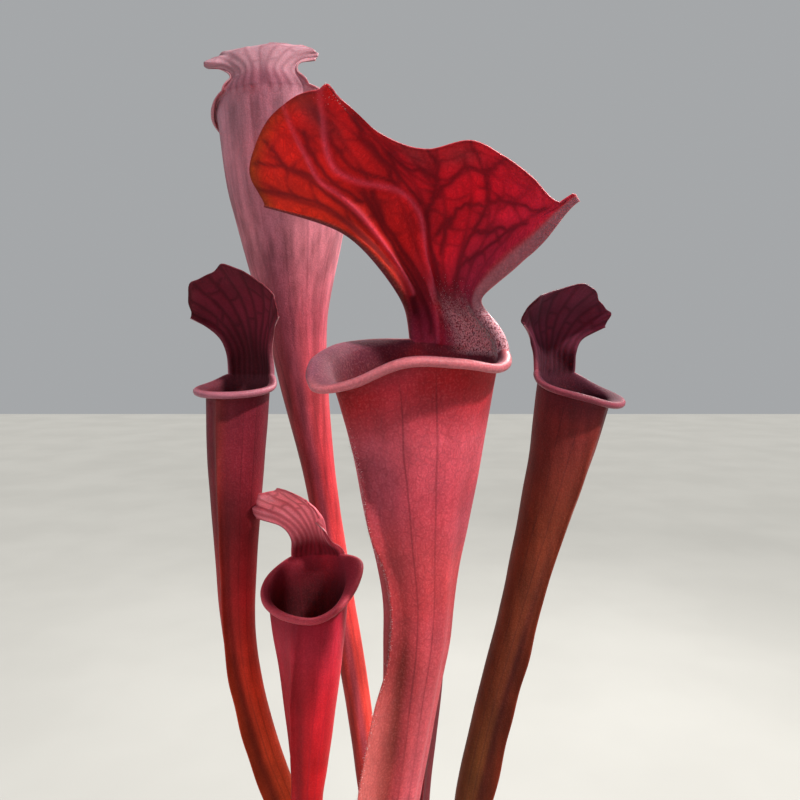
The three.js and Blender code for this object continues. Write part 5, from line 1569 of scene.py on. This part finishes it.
bristles, given = instance_tree("bristles", {
    "Roots": "Geometry", "Finish": "Material", "Radius": "Float", "Shortest": "Float", "Longest": "Float",
    "Seed": "Int",
})
cone = add(bristles, "GeometryNodeMeshCone", {
    "Vertices": 3, "Radius Top": 0, "Radius Bottom": given["Radius"], "Depth": 0.001,
})
way = add(bristles, "GeometryNodeInputNamedAttribute", {"Name": "way"}, data_type="FLOAT_VECTOR")
size = add(bristles, "GeometryNodeInputNamedAttribute", {"Name": "size"}, data_type="FLOAT")
stand = add(bristles, "FunctionNodeAlignRotationToVector", {"Vector": way}, axis="Z")
length = add(bristles, "FunctionNodeRandomValue", {
    2: given["Shortest"], 3: given["Longest"], "Seed": given["Seed"],
}, data_type="FLOAT")
length = add(bristles, "ShaderNodeMath", {0: length, 1: size}, operation="MULTIPLY")
stretch = add(bristles, "ShaderNodeCombineXYZ", {"X": 1, "Y": 1, "Z": length})
grown = add(bristles, "GeometryNodeInstanceOnPoints", {
    "Points": given["Roots"], "Instance": cone, "Rotation": stand, "Scale": stretch,
})
realized(bristles, grown, given["Finish"])

# Leaf hairs: horny, a dusty rose that varies every 1.4 mm, with a soft shine.
material, tree, shader, place = new_material("leaf_down", IOR=1.54, Roughness=0.45)
link(tree, shader, Base_Color=two_tones(tree, place, 1.4, (0.35, 0.65), "#9a747a", "#e0cdcd")[2])
grow(down, bristles, {
    "Finish": material, "Radius": HAIR_RADIUS / 1000, "Shortest": SHORTEST_HAIR, "Longest": LONGEST_HAIR,
    "Seed": HAIR_SEED,
})
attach(down, "root")


# Stage: a plain pale floor under a pale sky, a high key light from the right like the photograph's sun, and
# two soft fills. The Standard view keeps the leaves' deep reds.
FLOOR_REACH = 6000
points = [(x * FLOOR_REACH, y * FLOOR_REACH, 0) for x, y in ((-1, -1), (1, -1), (1, 1), (-1, 1))]
floor = make_mesh("studio_floor", points, [(0, 1, 2, 3)])
material, tree, shader, place = new_material("pale_matt_paper", Roughness=0.85)
link(tree, shader, Base_Color=two_tones(tree, place, 330, (0.3, 0.7), "#9b9b98", "#a0a09d", Detail=3)[2])
floor.data.materials.append(material)

world = bpy.data.worlds.new("pale_sky")
bpy.context.scene.world = world
world.use_nodes = True
sky = world.node_tree.nodes["Background"].inputs
sky["Color"].default_value = rgba("#f3f6f9")
sky["Strength"].default_value = 0.42
bpy.context.scene.view_settings.view_transform = "Standard"


def lamp(name, kind, place, aim, power, colour, **settings):
    data = bpy.data.lights.new(name, kind)
    data.energy = power
    data.color = colour
    for key, value in settings.items():
        setattr(data, key, value)
    light = placed(name, data)
    light.location = place
    light.rotation_euler = (Vector(aim) - Vector(place)).to_track_quat("-Z", "Y").to_euler()


lamp("key_sun", "SUN", (0.52, -0.36, 0.78), (0, 0, 0), 5.0, (1.0, 0.96, 0.9), angle=math.radians(4))
lamp("back_glow", "AREA", (0.5, 0.9, 1.35), (0, 0, 0.62), 24, (1.0, 0.96, 0.92), size=0.5)
lamp("front_fill", "AREA", (-0.9, -1.2, 0.9), (0, 0, 0.5), 6, (0.93, 0.96, 1.0), size=1.2)
